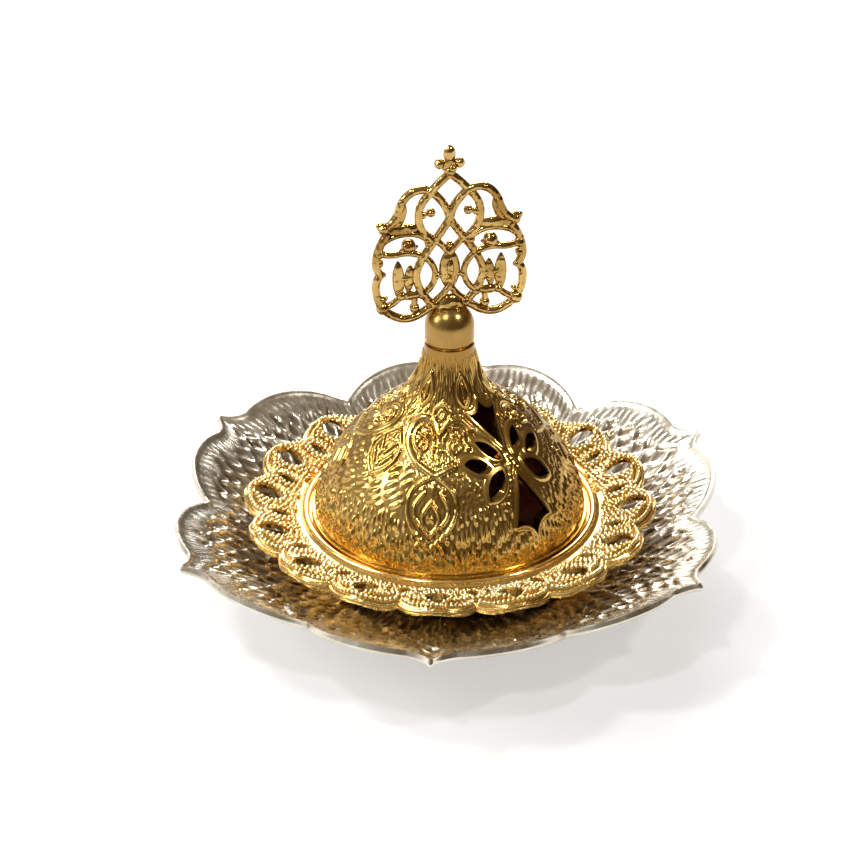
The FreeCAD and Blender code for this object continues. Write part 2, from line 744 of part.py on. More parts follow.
def biarc(start, start_way, end, end_way):
    """Two arcs that leave a point one way, meet smoothly and arrive at another point another way."""
    chord = end - start
    ways = start_way + end_way
    spread = 2 * (1 - start_way.dot(end_way))
    along = chord.dot(ways)
    if spread < STRAIGHT:
        reach = chord.dot(chord) / (4 * chord.dot(end_way))
    else:
        reach = (math.sqrt(along ** 2 + spread * chord.dot(chord)) - along) / spread
    middle = (start + end + (start_way - end_way) * reach) * 0.5
    arrival = arc_normals(end, end_way * -1, middle)
    back = [(point, normal * -1) for point, normal in arrival[::-1]]
    return [arc_normals(start, start_way, middle), back]


def edge_through(start, middle, end):
    """Round edge through three points, or a straight one where they lie in a line."""
    if (middle - start).cross(end - start).Length < STRAIGHT:
        return Part.makeLine(start, end)
    return Part.Arc(start, middle, end).toShape()


def ribbon(points, width):
    """Flat face of a strand with round ends along a smooth chain of arcs through points."""
    ways = []
    for index in range(len(points)):
        before, after = points[max(index - 1, 0)], points[min(index + 1, len(points) - 1)]
        ways.append((after - before).normalize())
    arcs = []
    for index in range(len(points) - 1):
        arcs += biarc(points[index], ways[index], points[index + 1], ways[index + 1])
    half = width / 2
    left = [[point + normal * half for point, normal in arc] for arc in arcs]
    right = [[point - normal * half for point, normal in arc[::-1]] for arc in arcs[::-1]]
    far_end = [left[-1][2], points[-1] + ways[-1] * half, right[0][0]]
    near_end = [right[-1][2], points[0] - ways[0] * half, left[0][0]]
    return Part.Face(Part.Wire([edge_through(*places) for places in left + [far_end] + right + [near_end]]))


def upright_leaf(low, high, bend):
    """Leaf-shaped face on the middle line between two heights."""
    length = high - low
    radius = bend * length
    swell = radius - math.sqrt(radius ** 2 - (length / 2) ** 2)
    middle = (low + high) / 2
    ends = Vector(0, 0, low), Vector(0, 0, high)
    edges = [Part.Arc(ends[0], Vector(swell, 0, middle), ends[1]).toShape(),
             Part.Arc(ends[1], Vector(-swell, 0, middle), ends[0]).toShape()]
    return Part.Face(Part.Wire(edges))


def finial_palmette():
    """Flat openwork palmette of strands and twigs, with a tang that stands in the ferrule."""
    width, height = size("palmette_half_width") / 100, size("palmette_height") / 100
    depth, strand, twig = size("palmette_depth"), size("palmette_strand"), size("palmette_twig")

    def spot(across, up, side=1):
        return Vector(side * across * width, 0, up * height)

    faces = []
    for side in (1, -1):
        for group, thickness in ((MAIN_STRANDS, strand), (TWIGS, twig)):
            for places in group.values():
                faces.append(ribbon([spot(*place, side) for place in places], thickness))
        for across, up, share in KNOBS:
            circle = Part.Circle(spot(across, up, side), Vector(0, 1, 0), share * strand)
            faces.append(Part.Face(Part.Wire(circle.toShape())))
    for low, high, bend in (BUD, BOSS):
        faces.append(upright_leaf(low * height, high * height, bend))
    tang_width = size("tang_width")
    front = Vector(0, -depth / 2, 0)
    solids = [Part.makeBox(tang_width, depth, TANG_TOP * height, front - Vector(tang_width / 2, 0, 0))]
    solids += [face.translated(front).extrude(front * -2) for face in faces]
    body = solids[0].fuse(solids[1:]).removeSplitter()
    item = doc.addObject("Part::Feature", "finial_palmette")
    item.Label = "finial_palmette"
    item.Shape = body.Solids[0] if len(body.Solids) == 1 else body
    stand(item, PALMETTE_SEAT, "palmette_turn")
    return item


def slotted_screw(label, height, corners, low, high, head):
    """Turned screw with a driver slot across its head."""
    body = new_body(label, height)
    revolve(body, profile(body, label + "_section", corners), label + "_turning")
    groove = slot(body, label + "_slot_outline", head, low, high)
    pocket(body, groove, label + "_slot", across="driver_slot_width")
    return body


def centre_screw():
    """Countersunk screw, head up in the saucer's well, through the riser, the tray and the foot."""
    length = f"({SAUCER_SEAT} + saucer_wall) - ({CENTRE_SCREW_END})"
    corners = [
        ("0", "0"),
        ("centre_screw_radius", "0"),
        ("centre_screw_radius", length + " - centre_head_height"),
        ("centre_head_radius", length),
        ("0", length),
    ]
    return slotted_screw("centre_screw", CENTRE_SCREW_END, corners, length + " - driver_slot_depth",
                         length + " + driver_slot_depth", "2 * centre_head_radius")


def finial_screw():
    """Slotted screw, head down inside the dome, that holds the ferrule and lets it turn."""
    shank = "screw_clearance + finial_washer_height + dome_height - dome_ceiling_height"
    length = "finial_head_height + " + shank + " + ferrule_bore_depth - finial_screw_end_gap"
    corners = [
        ("0", "0"),
        ("finial_head_radius", "0"),
        ("finial_head_radius", "finial_head_height"),
        ("finial_screw_radius", "finial_head_height"),
        ("finial_screw_radius", length),
        ("0", length),
    ]
    return slotted_screw("finial_screw", FINIAL_SCREW_END, corners, "0", "driver_slot_depth",
                         "2 * finial_head_radius")


def drilled(label, blank, bore, thickness, height):
    """Blank with a round hole through it, standing at a height on the axis."""
    drill = doc.addObject("Part::Cylinder", label + "_bore")
    drill.setExpression("Radius", tie(bore))
    drill.setExpression("Height", tie(thickness))
    item = doc.addObject("Part::Cut", label)
    item.Label = label
    item.Base = blank
    item.Tool = drill
    stand(item, height)
    return item


def washer(which, height):
    """Flat washer on one of the screws."""
    label = f"{which}_washer"
    thickness = f"{label}_height"
    blank = doc.addObject("Part::Cylinder", label + "_blank")
    blank.setExpression("Radius", tie(f"{label}_radius"))
    blank.setExpression("Height", tie(thickness))
    return drilled(label, blank, f"{which}_screw_radius + screw_clearance", thickness, height)


def centre_nut():
    """Hexagon nut under the foot's web."""
    blank = doc.addObject("Part::Prism", "centre_nut_blank")
    blank.Polygon = 6
    blank.setExpression("Circumradius", tie("centre_nut_flats / 2 / cos(30 deg)"))
    blank.setExpression("Height", tie("centre_nut_height"))
    bore = "centre_screw_radius + thread_clearance"
    return drilled("centre_nut", blank, bore, "centre_nut_height", CENTRE_NUT_SEAT)


def write_parts(pieces):
    """Check every object of the document, then write each piece to its own file."""
    doc.recompute()
    for item in doc.Objects:
        if {"Invalid", "Error"} & set(item.State):
            raise RuntimeError(f"{item.Label}: {item.State}")
    for piece in pieces:
        if piece.Shape.isNull() or not piece.Shape.isValid() or len(piece.Shape.Solids) != 1:
            raise RuntimeError(f"{piece.Label}: not one valid solid")
    os.makedirs("parts", exist_ok=True)
    for piece in pieces:
        piece.Shape.exportStep(f"parts/{piece.Label}.step")
        box = piece.Shape.BoundBox
        print(f"{piece.Label}: {piece.Shape.Volume:.1f} mm3, z {box.ZMin:.2f} to {box.ZMax:.2f}")


write_parts([
    base_foot(),
    lotus_tray(),
    saucer_riser(),
    lace_saucer(),
    centre_screw(),
    washer("centre", CENTRE_WASHER_SEAT),
    centre_nut(),
    burner_bowl(),
    dome_lid(),
    washer("finial", FINIAL_WASHER_SEAT),
    finial_screw(),
    finial_ferrule(),
    finial_palmette(),
])
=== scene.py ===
import math

import bpy
import numpy as np
from bpy.props import FloatProperty, FloatVectorProperty, IntProperty, PointerProperty
from bpy.types import Operator, Panel, PropertyGroup
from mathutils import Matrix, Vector


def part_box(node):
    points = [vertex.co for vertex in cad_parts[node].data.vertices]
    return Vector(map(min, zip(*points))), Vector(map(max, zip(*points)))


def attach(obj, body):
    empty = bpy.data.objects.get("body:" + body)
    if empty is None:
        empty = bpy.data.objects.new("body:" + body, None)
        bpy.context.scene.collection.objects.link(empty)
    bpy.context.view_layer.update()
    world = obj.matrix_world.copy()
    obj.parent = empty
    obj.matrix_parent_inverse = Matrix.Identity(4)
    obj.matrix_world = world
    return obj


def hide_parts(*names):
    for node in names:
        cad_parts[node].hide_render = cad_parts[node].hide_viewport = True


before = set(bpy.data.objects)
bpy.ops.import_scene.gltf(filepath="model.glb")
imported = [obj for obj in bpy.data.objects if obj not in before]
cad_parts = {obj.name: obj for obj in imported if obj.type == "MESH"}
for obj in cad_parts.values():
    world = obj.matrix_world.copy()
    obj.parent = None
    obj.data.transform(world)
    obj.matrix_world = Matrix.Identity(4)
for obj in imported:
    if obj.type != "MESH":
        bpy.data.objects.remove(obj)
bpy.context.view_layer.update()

bl_info = {
    "name": "Incense Burner Dresser",
    "version": (1, 0, 0),
    "blender": (4, 5, 0),
    "location": "View3D > Sidebar > Burner",
    "description": "Dresses a table incense burner with petal dish, beaded saucer, chased dome and finial",
    "category": "Object",
}

MM = 0.001
LEFT, RIGHT = 1, -1
SEED = 7
# Rows and columns of the random numbers for the dish's cells and for the marks on the dome.
CELL_CHANCES, MARK_CHANCES = (97, 31), (769, 5)
SEAM_GAP = 0.002 * MM
SLIVER = 0.004 * MM

# Half of the dome's medallion on the unrolled dome, in millimetres: across from its axis, and up along it.
MEDALLION_LINES = {
    "heart": [(0, 25.6), (1.0, 27.4), (2.8, 28.4), (4.8, 27.3), (5.9, 24.6), (5.4, 22.2), (3.8, 20),
              (1.8, 18.7), (0, 17.8)],
    "scroll": [(0.9, 24.6), (1.5, 26.3), (2.9, 27.0), (4.2, 26.1), (4.7, 24.4), (4.1, 22.7), (2.8, 22.0),
               (1.9, 23.0), (2.1, 24.4), (3.2, 24.9), (3.6, 23.9)],
    "drop": [(0, 17.8), (2.2, 16.4), (3.9, 14.5), (4.5, 12.0), (4.1, 9.6), (2.7, 7.4), (0, 4.6)],
    "drop_leaf": [(0, 7.0), (1.3, 8.9), (1.4, 10.8), (0, 13.2)],
    "drop_side": [(1.7, 8.6), (2.9, 10.2), (3.0, 12.2), (1.5, 14.6)],
    "arch": [(0, 31.6), (1.3, 30.2), (1.5, 28.9), (0.6, 27.6)],
    "arch_heart": [(0, 30.3), (0.6, 29.4), (0, 28.4)],
    "tail": [(1.4, 6.0), (2.6, 4.6), (3.0, 2.8)],
}
MEDALLION_PEARLS = [(2.9, 23.7), (2.3, 25.6), (3.8, 25.3), (4.0, 23.6), (3.0, 20.9), (0, 15.6), (1.9, 15.2),
                    (0, 10.0), (0.7, 22.6), (0, 29.2)]
# Half of the leaf spray between two medallions, and half of a lancet leaf on the neck.
SPRAY_LINES = {
    "inner": [(0, 15.0), (2.2, 17.0), (3.2, 19.2), (2.6, 21.8), (0, 25.0)],
    "hatch_low": [(0.7, 17.2), (2.2, 19.6)],
    "hatch_high": [(0.3, 19.4), (1.7, 22.0)],
}
SPRAY_PEARLS = [(0, 20.0), (0, 23.0), (0, 17.0)]
LANCET_LINES = {
    "lancet": [(0, 30.2), (1.0, 32.2), (0.9, 34.2), (0, 36.6)],
    "lancet_rib": [(0, 31.6), (0, 34.6)],
}
BOLD_LINE, BOLD_SHARE = "heart", 2.0
# Marks on the ground between the motifs, in millimetres: the radius that the dome is unrolled with there,
# the step across, the length, and the heights along the dome where they begin, turn full, wane and end.
MARKS = {
    "dashes": (24.0, 0.95, 3.5, (0.5, 1.4, 9, 13)),
    "stipple": (21.0, 0.62, 0.62, (8.5, 11.5, 20, 23)),
    "scales": (17.0, 1.15, 1.9, (20, 23, 31, 33)),
    "strokes": (17.0, 1.25, 3.4, (8, 11, 31, 33)),
    "flutes": (8.0, 0.62, 4.6, (31, 33.5, 39, 41)),
}
VENT_ANGLES = (math.radians(-45), math.radians(135))
SPRAY_ANGLES = (math.radians(-135), math.radians(45))
LANCET_ANGLE, LANCETS = math.radians(-65), 6
# A vent group, in millimetres across from its axis and above the lid's seat.
# Kites have an apex, a corner, a point, a bend and the side of that bend; leaves have two ends and a bend.
VENT_KITES = (
    ((0, 19.3), (2.9, 24.1), (0, 25.8), 2.4, RIGHT),
    ((0, 15.2), (3.9, 7.5), (0, 3.5), 3.3, LEFT),
)
VENT_LEAVES = (
    ((1.6, 17.9), (4.6, 20.7), 2.7),
    ((4.2, 17.1), (8.4, 18.1), 2.7),
    ((2.5, 16.5), (7.1, 12.6), 4.2),
)

# Half of the palmette in percent: across from its axis to its half width, and up from its foot to its top.
STRANDS = {
    "shoulder_to_ferrule": [(-87, 56), (-75, 58.5), (-67, 63.5), (-61.5, 69.5), (-51, 74.5), (-38, 76.3),
                            (-25, 75), (-12.5, 70.5), (-4, 65), (0, 60), (12, 52), (20, 47.5), (31, 41),
                            (39.5, 35), (43.5, 29), (41, 23.5), (35, 18.5), (26, 13.5), (17, 10.5),
                            (8, 9.5)],
    "arm": [(0, 84.5), (14, 79.5), (25, 74.5), (35, 69.5), (40, 63), (36.5, 55), (24, 48)],
    "upper_loop": [(80, 54), (90, 47), (95, 39.5), (95, 35.5), (90, 31)],
    "lower_loop": [(90, 31.5), (95, 27), (95, 20), (91, 14.5), (84, 10.5), (73, 7), (57, 5), (41, 6.5),
                   (27, 10), (17, 11.5)],
}
TWIGS = {
    "arch": [(90, 47.5), (77, 51), (60, 52.7), (44, 52.2), (31, 49.5), (22, 46)],
    "bar": [(94, 43), (75, 41.5), (55, 42), (35, 40)],
    "leaf_foot": [(88, 11.5), (74, 14), (60, 19)],
    "leaf_web": [(66, 28), (43, 28)],
    "drop_stem": [(46, 16.5), (46, 11)],
    "boss_top": [(27, 50.5), (14, 46.5), (0, 40)],
    "boss_side": [(34, 40), (22, 34), (19, 27.5), (26, 21), (37, 17.5)],
    "boss_link": [(20, 28.5), (9, 28.5)],
    "boss_foot": [(0, 22), (10, 16.5), (20, 13)],
}
# Across, up, and radius in millimetres.
KNOBS = [(46, 10.6, 0.95), (24, 63.5, 0.85), (13, 90.0, 0.95), (85, 56.5, 1.05), (87, 12, 1.25),
         (91, 37.5, 0.8), (53, 46, 1.35), (91, 43, 1.0), (17, 28, 0.75), (0, 45, 0.65), (27, 47, 0.85),
         (35, 17.5, 0.85), (20, 12, 1.0), (63, 18, 0.9), (0, 86, 1.1)]
# Leaves between two points, with half their width in millimetres.
LEAVES = [((66, 16.0), (67, 38), 1.15), ((54, 19.0), (51, 35.5), 0.95), ((33, 18), (66, 17.6), 0.95),
          ((88, 54.5), (35, 55.5), 1.2), ((57, 69.5), (71, 55), 1.05), ((76, 56), (95, 59), 0.95),
          ((28, 62.8), (44, 62), 0.8), ((40, 45.5), (66, 43), 0.8), ((94, 31.5), (82, 30.5), 0.6),
          ((93, 16), (80, 18), 0.6)]
LEAF_DEPTH = 0.62
# Leaves on the axis, between two heights, with half their width and half their depth in millimetres:
# the bud's lower and upper leaf, the boss and the foot.
AXIS_LEAVES = [(84, 94, 1.5, LEAF_DEPTH), (90, 100, 1.15, LEAF_DEPTH), (19, 43, 1.95, 0.85),
               (3, 17, 2.6, 1.3)]
# Leaves on both faces of the boss, between two heights.
BOSS_LEAVES = [(27, 38), (29, 35)]


def metres(name, description, default):
    """A length that can be set."""
    return FloatProperty(name=name, description=description, default=default, unit="LENGTH")


def several_metres(name, description, *defaults):
    """Lengths that can be set together."""
    return FloatVectorProperty(name=name, description=description, default=defaults, size=len(defaults),
                               unit="LENGTH")


def degrees(name, description, default):
    """An angle that can be set."""
    return FloatProperty(name=name, description=description, default=math.radians(default), subtype="ANGLE")


def whole(name, description, default, least):
    """A whole number that can be set."""
    return IntProperty(name=name, description=description, default=default, min=least)


def tint(name, description, *default):
    """A colour that can be set."""
    return FloatVectorProperty(name=name, description=description, default=default, subtype="COLOR")


class BurnerDishSizes(PropertyGroup):
    """Sizes of the embossed petal dish"""

    petals: whole("Petals", "Petals of the dish", 6, 3)
    tip_radius: metres("Tip Radius", "Distance of a petal's spur from the axis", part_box("lotus_tray")[1][1])
    shoulder_radius: metres("Shoulder Radius", "Distance of the foot of a spur from the axis", 51.0 * MM)
    spur_angle: degrees("Spur Angle", "Angle from a spur's tip to its foot", 5)
    notch_radius: metres("Notch Radius", "Distance of a notch from the axis", 45.4 * MM)
    shoulder_bend: metres("Shoulder Bend", "Radius of a petal's shoulder", 17.5 * MM)
    spur_bend: metres("Spur Bend", "Radius of the hollow beside a spur", 6.0 * MM)
    spur_blunt: metres("Spur Blunt", "How far a spur's tip is worn back", 0.6 * MM)
    bore: metres("Bore", "Radius of the screw hole", 2.08 * MM)
    floor_radius: metres("Floor Radius", "Radius of the flat floor", 20.0 * MM)
    floor_height: metres("Floor Height", "Height of the floor's upper face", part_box("saucer_riser")[0][2])
    turn_radius: metres("Turn Radius", "Where the hollow meets the crown", 36.0 * MM)
    turn_height: metres("Turn Height", "Height where the hollow meets the crown", 10.7 * MM)
    crown_radius: metres("Crown Radius", "Outer end of the crown's section", 55.5 * MM)
    crown_height: metres("Crown Height", "Height at the outer end of the crown's section", 18.7 * MM)
    wall: metres("Wall", "Thickness of the dish", 1.3 * MM)
    curl: metres("Curl", "How far a petal's shoulders curl up", 1.1 * MM)
    cells: whole("Cells", "Almond hollows across one petal", 13, 4)
    cell_length: metres("Cell Length", "Length of an almond hollow", 4.3 * MM)
    cell_depth: metres("Cell Depth", "Depth of an almond hollow", 0.8 * MM)
    rib_pitch: metres("Rib Pitch", "Step between the ribs along the rim", 1.6 * MM)
    rib_height: metres("Rib Height", "Height of the ribs along the rim", 0.2 * MM)
    rim_band: metres("Rim Band", "Width of the smooth rolled rim", 1.3 * MM)
    steps: whole("Steps", "Turning steps of the dish", 1200, 60)


class BurnerSaucerSizes(PropertyGroup):
    """Sizes of the beaded lace on the saucer"""

    lobes: whole("Lobes", "Lobes of the saucer", 16, 4)
    bead_radius: metres("Bead Radius", "Radius of a bead", 0.42 * MM)
    bead_gap: metres("Bead Step", "Least step between two beads", 0.86 * MM)
    edge_wire: metres("Edge Wire", "Radius of the plain wire round the lobes", 0.34 * MM)
    radius: metres("Radius", "Outer radius of the lobes", 38.2 * MM)
    edge_height: metres("Edge Height", "Height of the outer edge", 17.1 * MM)
    crest_radius: metres("Crest Radius", "Radius of the crest", 35.6 * MM)
    crest_height: metres("Crest Height", "Height of the crest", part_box("lace_saucer")[1][2])
    edge_bend: metres("Edge Bend", "Radius of the rolled edge", 3.4 * MM)
    start_radius: metres("Lace Start", "Radius where the lace starts", 28.2 * MM)
    start_height: metres("Lace Start Height", "Height where the lace starts", 15.9 * MM)
    notch_depth: metres("Notch Depth", "Depth of the notch between two lobes", 2.8 * MM)
    window: several_metres("Window", "Inner end, outer end and bend of a lobe's window",
                           31.0 * MM, 36.4 * MM, 2.76 * MM)
    tongue: several_metres("Tongue", "Inner end, outer end and bend of the gap between lobes",
                           29.4 * MM, 33.2 * MM, 2.4 * MM)
    lobe_rise: metres("Lobe Rise", "How far a lobe rises and a notch dips", 0.7 * MM)
    seat: metres("Seat", "Height of the saucer's seat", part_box("lace_saucer")[0][2])
    wall: metres("Wall", "Thickness of the saucer", 1.2 * MM)
    edge_wall: metres("Edge Wall", "Thickness of the lace at its edge", 0.55 * MM)
    well_radius: metres("Well Radius", "Radius of the well for the bowl", 23.0 * MM)
    ledge_height: metres("Ledge Height", "Height of the ledge that the bowl hangs on", 15.6 * MM)
    collar_radius: metres("Collar Radius", "Inner radius of the collar", 25.95 * MM)
    collar_height: metres("Collar Height", "Height of the collar's top", 17.1 * MM)
    collar_bend: metres("Collar Bend", "Radius of the collar's roll", 0.62 * MM)
    screw_mouth: several_metres("Screw Mouth", "Upper and lower radius of the screw's countersink",
                                3.88 * MM, 2.68 * MM)


class BurnerLidSizes(PropertyGroup):
    """Sizes of the chased dome"""

    seat: metres("Seat", "Height of the lid's seat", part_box("dome_lid")[0][2])
    flange_radius: metres("Flange Radius", "Radius of the flange", 25.6 * MM)
    flange_height: metres("Flange Height", "Thickness of the flange", 0.85 * MM)
    radius: metres("Radius", "Radius of the dome at its springing", 25.0 * MM)
    belly_bend: metres("Belly Bend", "Radius of the belly's section", 32.9 * MM)
    turn: several_metres("Turn", "Radius and height above the seat where the belly turns",
                         11.8 * MM, 21.2 * MM)
    neck: several_metres("Neck", "Radius and height above the seat of the neck's foot", 4.6 * MM, 33.4 * MM)
    bore: metres("Bore", "Radius of the finial's screw hole", 1.58 * MM)
    ceiling: metres("Ceiling", "Height of the ceiling above the seat", 29.1 * MM)
    wall: metres("Wall", "Thickness of the dome", 1.2 * MM)
    medallion_angle: degrees("Medallion Angle", "Angle between a vent group and a medallion", 50.5)
    line_height: metres("Line Height", "Height of the chased lines", 0.38 * MM)
    line_half_width: metres("Line Half Width", "Half the width of a chased line", 0.3 * MM)
    dash_height: metres("Dash Height", "Height of the upright dashes", 0.45 * MM)
    stipple_height: metres("Stipple Height", "Height of the stippled ground", 0.19 * MM)
    steps: whole("Steps", "Turning steps of the dome", 640, 60)


class BurnerFinialSizes(PropertyGroup):
    """Sizes of the openwork palmette"""

    half_width: metres("Half Width", "Half the palmette's width", 13.9 * MM)
    height: metres("Height", "Height of the palmette", 35.1 * MM)
    depth: metres("Depth", "Depth of the palmette", 1.7 * MM)
    strand: metres("Strand", "Width of a strand", 1.55 * MM)
    twig: metres("Twig", "Width of a twig", 1.25 * MM)
    tang_width: metres("Tang Width", "Width of the tang in the ferrule", 3.2 * MM)
    turn: degrees("Turn", "Angle between the palmette and the dish's front", 14.5)


class BurnerFinishes(PropertyGroup):
    """Colours of the plated metals"""

    gold: tint("Gold", "Colour of the bright gold plate", 0.92, 0.66, 0.25)
    gold_shade: tint("Gold Shade", "Deeper tone in the gold plate", 0.74, 0.48, 0.15)
    # The beads' own pale gold, lifted further as a painted highlight for their bright glints.
    pale: tint("Pale Gold", "Colour of the beads", 0.98, 0.87, 0.54)
    pale_shade: tint("Pale Gold Shade", "Deeper tone of the beads", 0.86, 0.66, 0.30)
    antique: tint("Antique Gold", "Colour of the darker gold of the lid", 0.67, 0.44, 0.13)
    antique_shade: tint("Antique Gold Shade", "Deeper tone in the antique gold", 0.49, 0.28, 0.06)
    # Painted shade in the chasing's furrows and on the darkened neck.
    antique_painted_shade: tint("Antique Gold Hollow", "Tone in the hollows of the chasing", 0.22, 0.10, 0.02)
    cast: tint("Cast Gold", "Colour of the dull gold of the finial", 0.62, 0.415, 0.145)
    cast_shade: tint("Cast Gold Shade", "Deeper tone in the dull gold", 0.34, 0.19, 0.045)
    # The ferrule's satin gold, darkened further as painted shade for the dark surroundings that it reflects.
    satin: tint("Satin Gold", "Colour of the worn gold of the ferrule", 0.40, 0.25, 0.075)
    silver: tint("Silver", "Colour of the silver plate", 0.79, 0.745, 0.65)
    silver_shade: tint("Silver Shade", "Browner tone in the silver plate", 0.62, 0.55, 0.44)
    # Painted shade: darkens the dish's almond cells and rib furrows.
    silver_painted_shade: tint("Silver Hollow", "Tone in the hollows of the silver relief", 0.20, 0.13, 0.055)
    # Painted shade: the inside of the bowl and lid, darkened so that the vents look dark.
    painted_shade_inside: tint("Smoke", "Colour of the smoked inside of bowl and lid", 0.32, 0.12, 0.06)
    painted_shade_inside_deeper: tint("Smoke Shade", "Sootier tone of the smoked inside", 0.16, 0.055, 0.03)
    steel: tint("Steel", "Colour of the screws and washers", 0.56, 0.56, 0.57)
    steel_shade: tint("Steel Shade", "Darker tone of the screws and washers", 0.36, 0.36, 0.38)


class BurnerStageSizes(PropertyGroup):
    """Camera and floor of the stage"""

    azimuth: degrees("Azimuth", "Camera's angle round the burner", 3.5)
    elevation: degrees("Elevation", "Camera's angle above the table", 30.17)
    distance: metres("Distance", "Camera's distance from its target", 570 * MM)
    target: metres("Target Height", "Height of the point in the picture's middle", 34.6 * MM)
    lens: FloatProperty(name="Lens", description="Focal length in millimetres", default=133.6, unit="CAMERA")
    shift: FloatProperty(name="Shift", description="Sideways lens shift", default=-0.0345, subtype="FACTOR")
    floor: tint("Floor", "Colour of the floor", 0.93, 0.93, 0.93)


def arc(start, end, radius, side, count):
    """Points on the short arc between two points, with its centre to the left or right of that way."""
    start, end = np.array(start, float), np.array(end, float)
    chord = end - start
    half = np.linalg.norm(chord) / 2
    normal = np.array([-chord[1], chord[0]]) / (2 * half)
    centre = (start + end) / 2 + side * normal * math.sqrt(radius ** 2 - half ** 2)
    return around(centre, start, end, count)


def around(centre, start, end, count):
    """Points on the short arc from start to end round a centre."""
    first, last = (math.atan2(*(point - centre)[::-1]) for point in (start, end))
    turns = first + wrapped(last - first) * np.linspace(0, 1, count)
    reach = np.linalg.norm(start - centre)
    return centre + reach * np.column_stack([np.cos(turns), np.sin(turns)])


def tangent_centre(start, heading, end):
    """Centre of the arc that leaves start along a heading and ends at end."""
    step = np.subtract(end, start)
    normal = np.array([-heading[1], heading[0]])
    return start + normal * (step @ step) / (2 * step @ normal)


def smooth_line(points, per_span):
    """A smooth line through points, as closely spaced points."""
    points = np.array(points, float)
    ends = np.vstack([2 * points[0] - points[1], points, 2 * points[-1] - points[-2]])
    share = np.linspace(0, 1, per_span, endpoint=False)[:, None]
    spans = []
    for a, b, c, d in zip(ends, ends[1:], ends[2:], ends[3:]):
        bend = 2 * a - 5 * b + 4 * c - d
        spans.append(b + share * ((c - a) + share * (bend + share * (3 * b - a - 3 * c + d))) / 2)
    return np.vstack(spans + [points[-1:]])


def lengths(line):
    """Distance along a line at each of its points."""
    return np.concatenate([[0], np.cumsum(np.linalg.norm(np.diff(line, axis=0), axis=1))])


def at_marks(line, marks):
    """Places on a line at these distances along it."""
    distance = lengths(line)
    return np.column_stack([np.interp(marks, distance, line[:, axis]) for axis in range(line.shape[1])])


def mirrored(points):
    """The same points on the other side of the axis."""
    return [(-across, up) for across, up in points]


def nearest(places, line):
    """Distance of each place from a line."""
    best = np.full(len(places), np.inf)
    for start, end in zip(line, line[1:]):
        step = end - start
        share = np.clip((places - start) @ step / (step @ step), 0, 1)
        best = np.minimum(best, np.linalg.norm(places - start - share[:, None] * step, axis=1))
    return best


def ridge(distance, half_width):
    """Height from 0 to 1 of a rounded ridge, at a distance from its line."""
    return np.clip(1 - (distance / half_width) ** 2, 0, 1)


def soft_step(low, high, value):
    """Rises smoothly from 0 at low to 1 at high."""
    share = np.clip((value - low) / (high - low), 0, 1)
    return share * share * (3 - 2 * share)


def zone(value, low, full_low, full_high, high):
    """Rises smoothly from 0 at low to 1, and falls back to 0 at high."""
    return soft_step(low, full_low, value) * soft_step(high, full_high, value)


def wrapped(angle):
    """The same angle between minus half a turn and half a turn."""
    return (angle + math.pi) % math.tau - math.pi


def folded(angle, count):
    """Angle from the nearest of so many axes, spread evenly from the X axis on."""
    return np.abs(wrapped(angle * count)) / count


def polar(places):
    """Angle and distance from the axis of each place."""
    return np.arctan2(places[:, 1], places[:, 0]), np.hypot(places[:, 0], places[:, 1])


def put_polar(places, angle, radius):
    """Move places to these angles and distances from the axis."""
    places[:, 0] = radius * np.cos(angle)
    places[:, 1] = radius * np.sin(angle)


def spoke(radius, angle):
    """The place of a plan at a distance and an angle."""
    return radius * np.array([math.cos(angle), math.sin(angle)])


def rotated(places, turn):
    """Places of a plan turned round the axis."""
    cosine, sine = math.cos(turn), math.sin(turn)
    return places @ [[cosine, sine], [-sine, cosine]]


def stretched(radius, start, full, reach):
    """Distances from the axis once all beyond start is stretched so that full comes to lie at reach."""
    return radius + np.clip(radius - start, 0, None) * ((reach - start) / (full - start) - 1)


def leave_edit_mode():
    """Go back to object mode."""
    bpy.ops.object.mode_set(mode="OBJECT")


def edit_all():
    """Go into edit mode with everything selected."""
    bpy.ops.object.mode_set(mode="EDIT")
    bpy.ops.mesh.select_all(action="SELECT")


def deselect():
    """Leave nothing selected, in object mode."""
    if bpy.context.object and bpy.context.object.mode != "OBJECT":
        leave_edit_mode()
    bpy.ops.object.select_all(action="DESELECT")


def pick(*objects):
    """Select these objects alone, with the first one active."""
    deselect()
    for item in objects:
        item.select_set(True)
    bpy.context.view_layer.objects.active = objects[0]


def named(name):
    """Give the active object and its mesh a name."""
    item = bpy.context.object
    item.name = item.data.name = name
    return item


def linked(name, data):
    """A new object in the scene."""
    item = bpy.data.objects.new(name, data)
    bpy.context.collection.objects.link(item)
    return item


def sphere(segments, rings, radius, place=(0, 0, 0)):
    """A ball at a place."""
    deselect()
    bpy.ops.mesh.primitive_uv_sphere_add(segments=segments, ring_count=rings, radius=radius, location=place)
    bpy.ops.object.transform_apply()
    return bpy.context.object


def chain(name, places):
    """Extrude one point along a list of places, and stay in edit mode with all of it selected."""
    places = [Vector(place) for place in places]
    deselect()
    bpy.ops.mesh.primitive_plane_add(size=MM)
    item = named(name)
    edit_all()
    bpy.ops.mesh.merge(type="CENTER")
    bpy.ops.transform.translate(value=places[0])
    for here, there in zip(places, places[1:]):
        bpy.ops.mesh.extrude_vertices_move(TRANSFORM_OT_translate={"value": there - here})
    bpy.ops.mesh.select_all(action="SELECT")
    return item


def joined(name, items):
    """Join objects into one with that name."""
    pick(*items)
    bpy.ops.object.join()
    item = named(name)
    bpy.ops.object.transform_apply(location=True, rotation=True, scale=True)
    return item


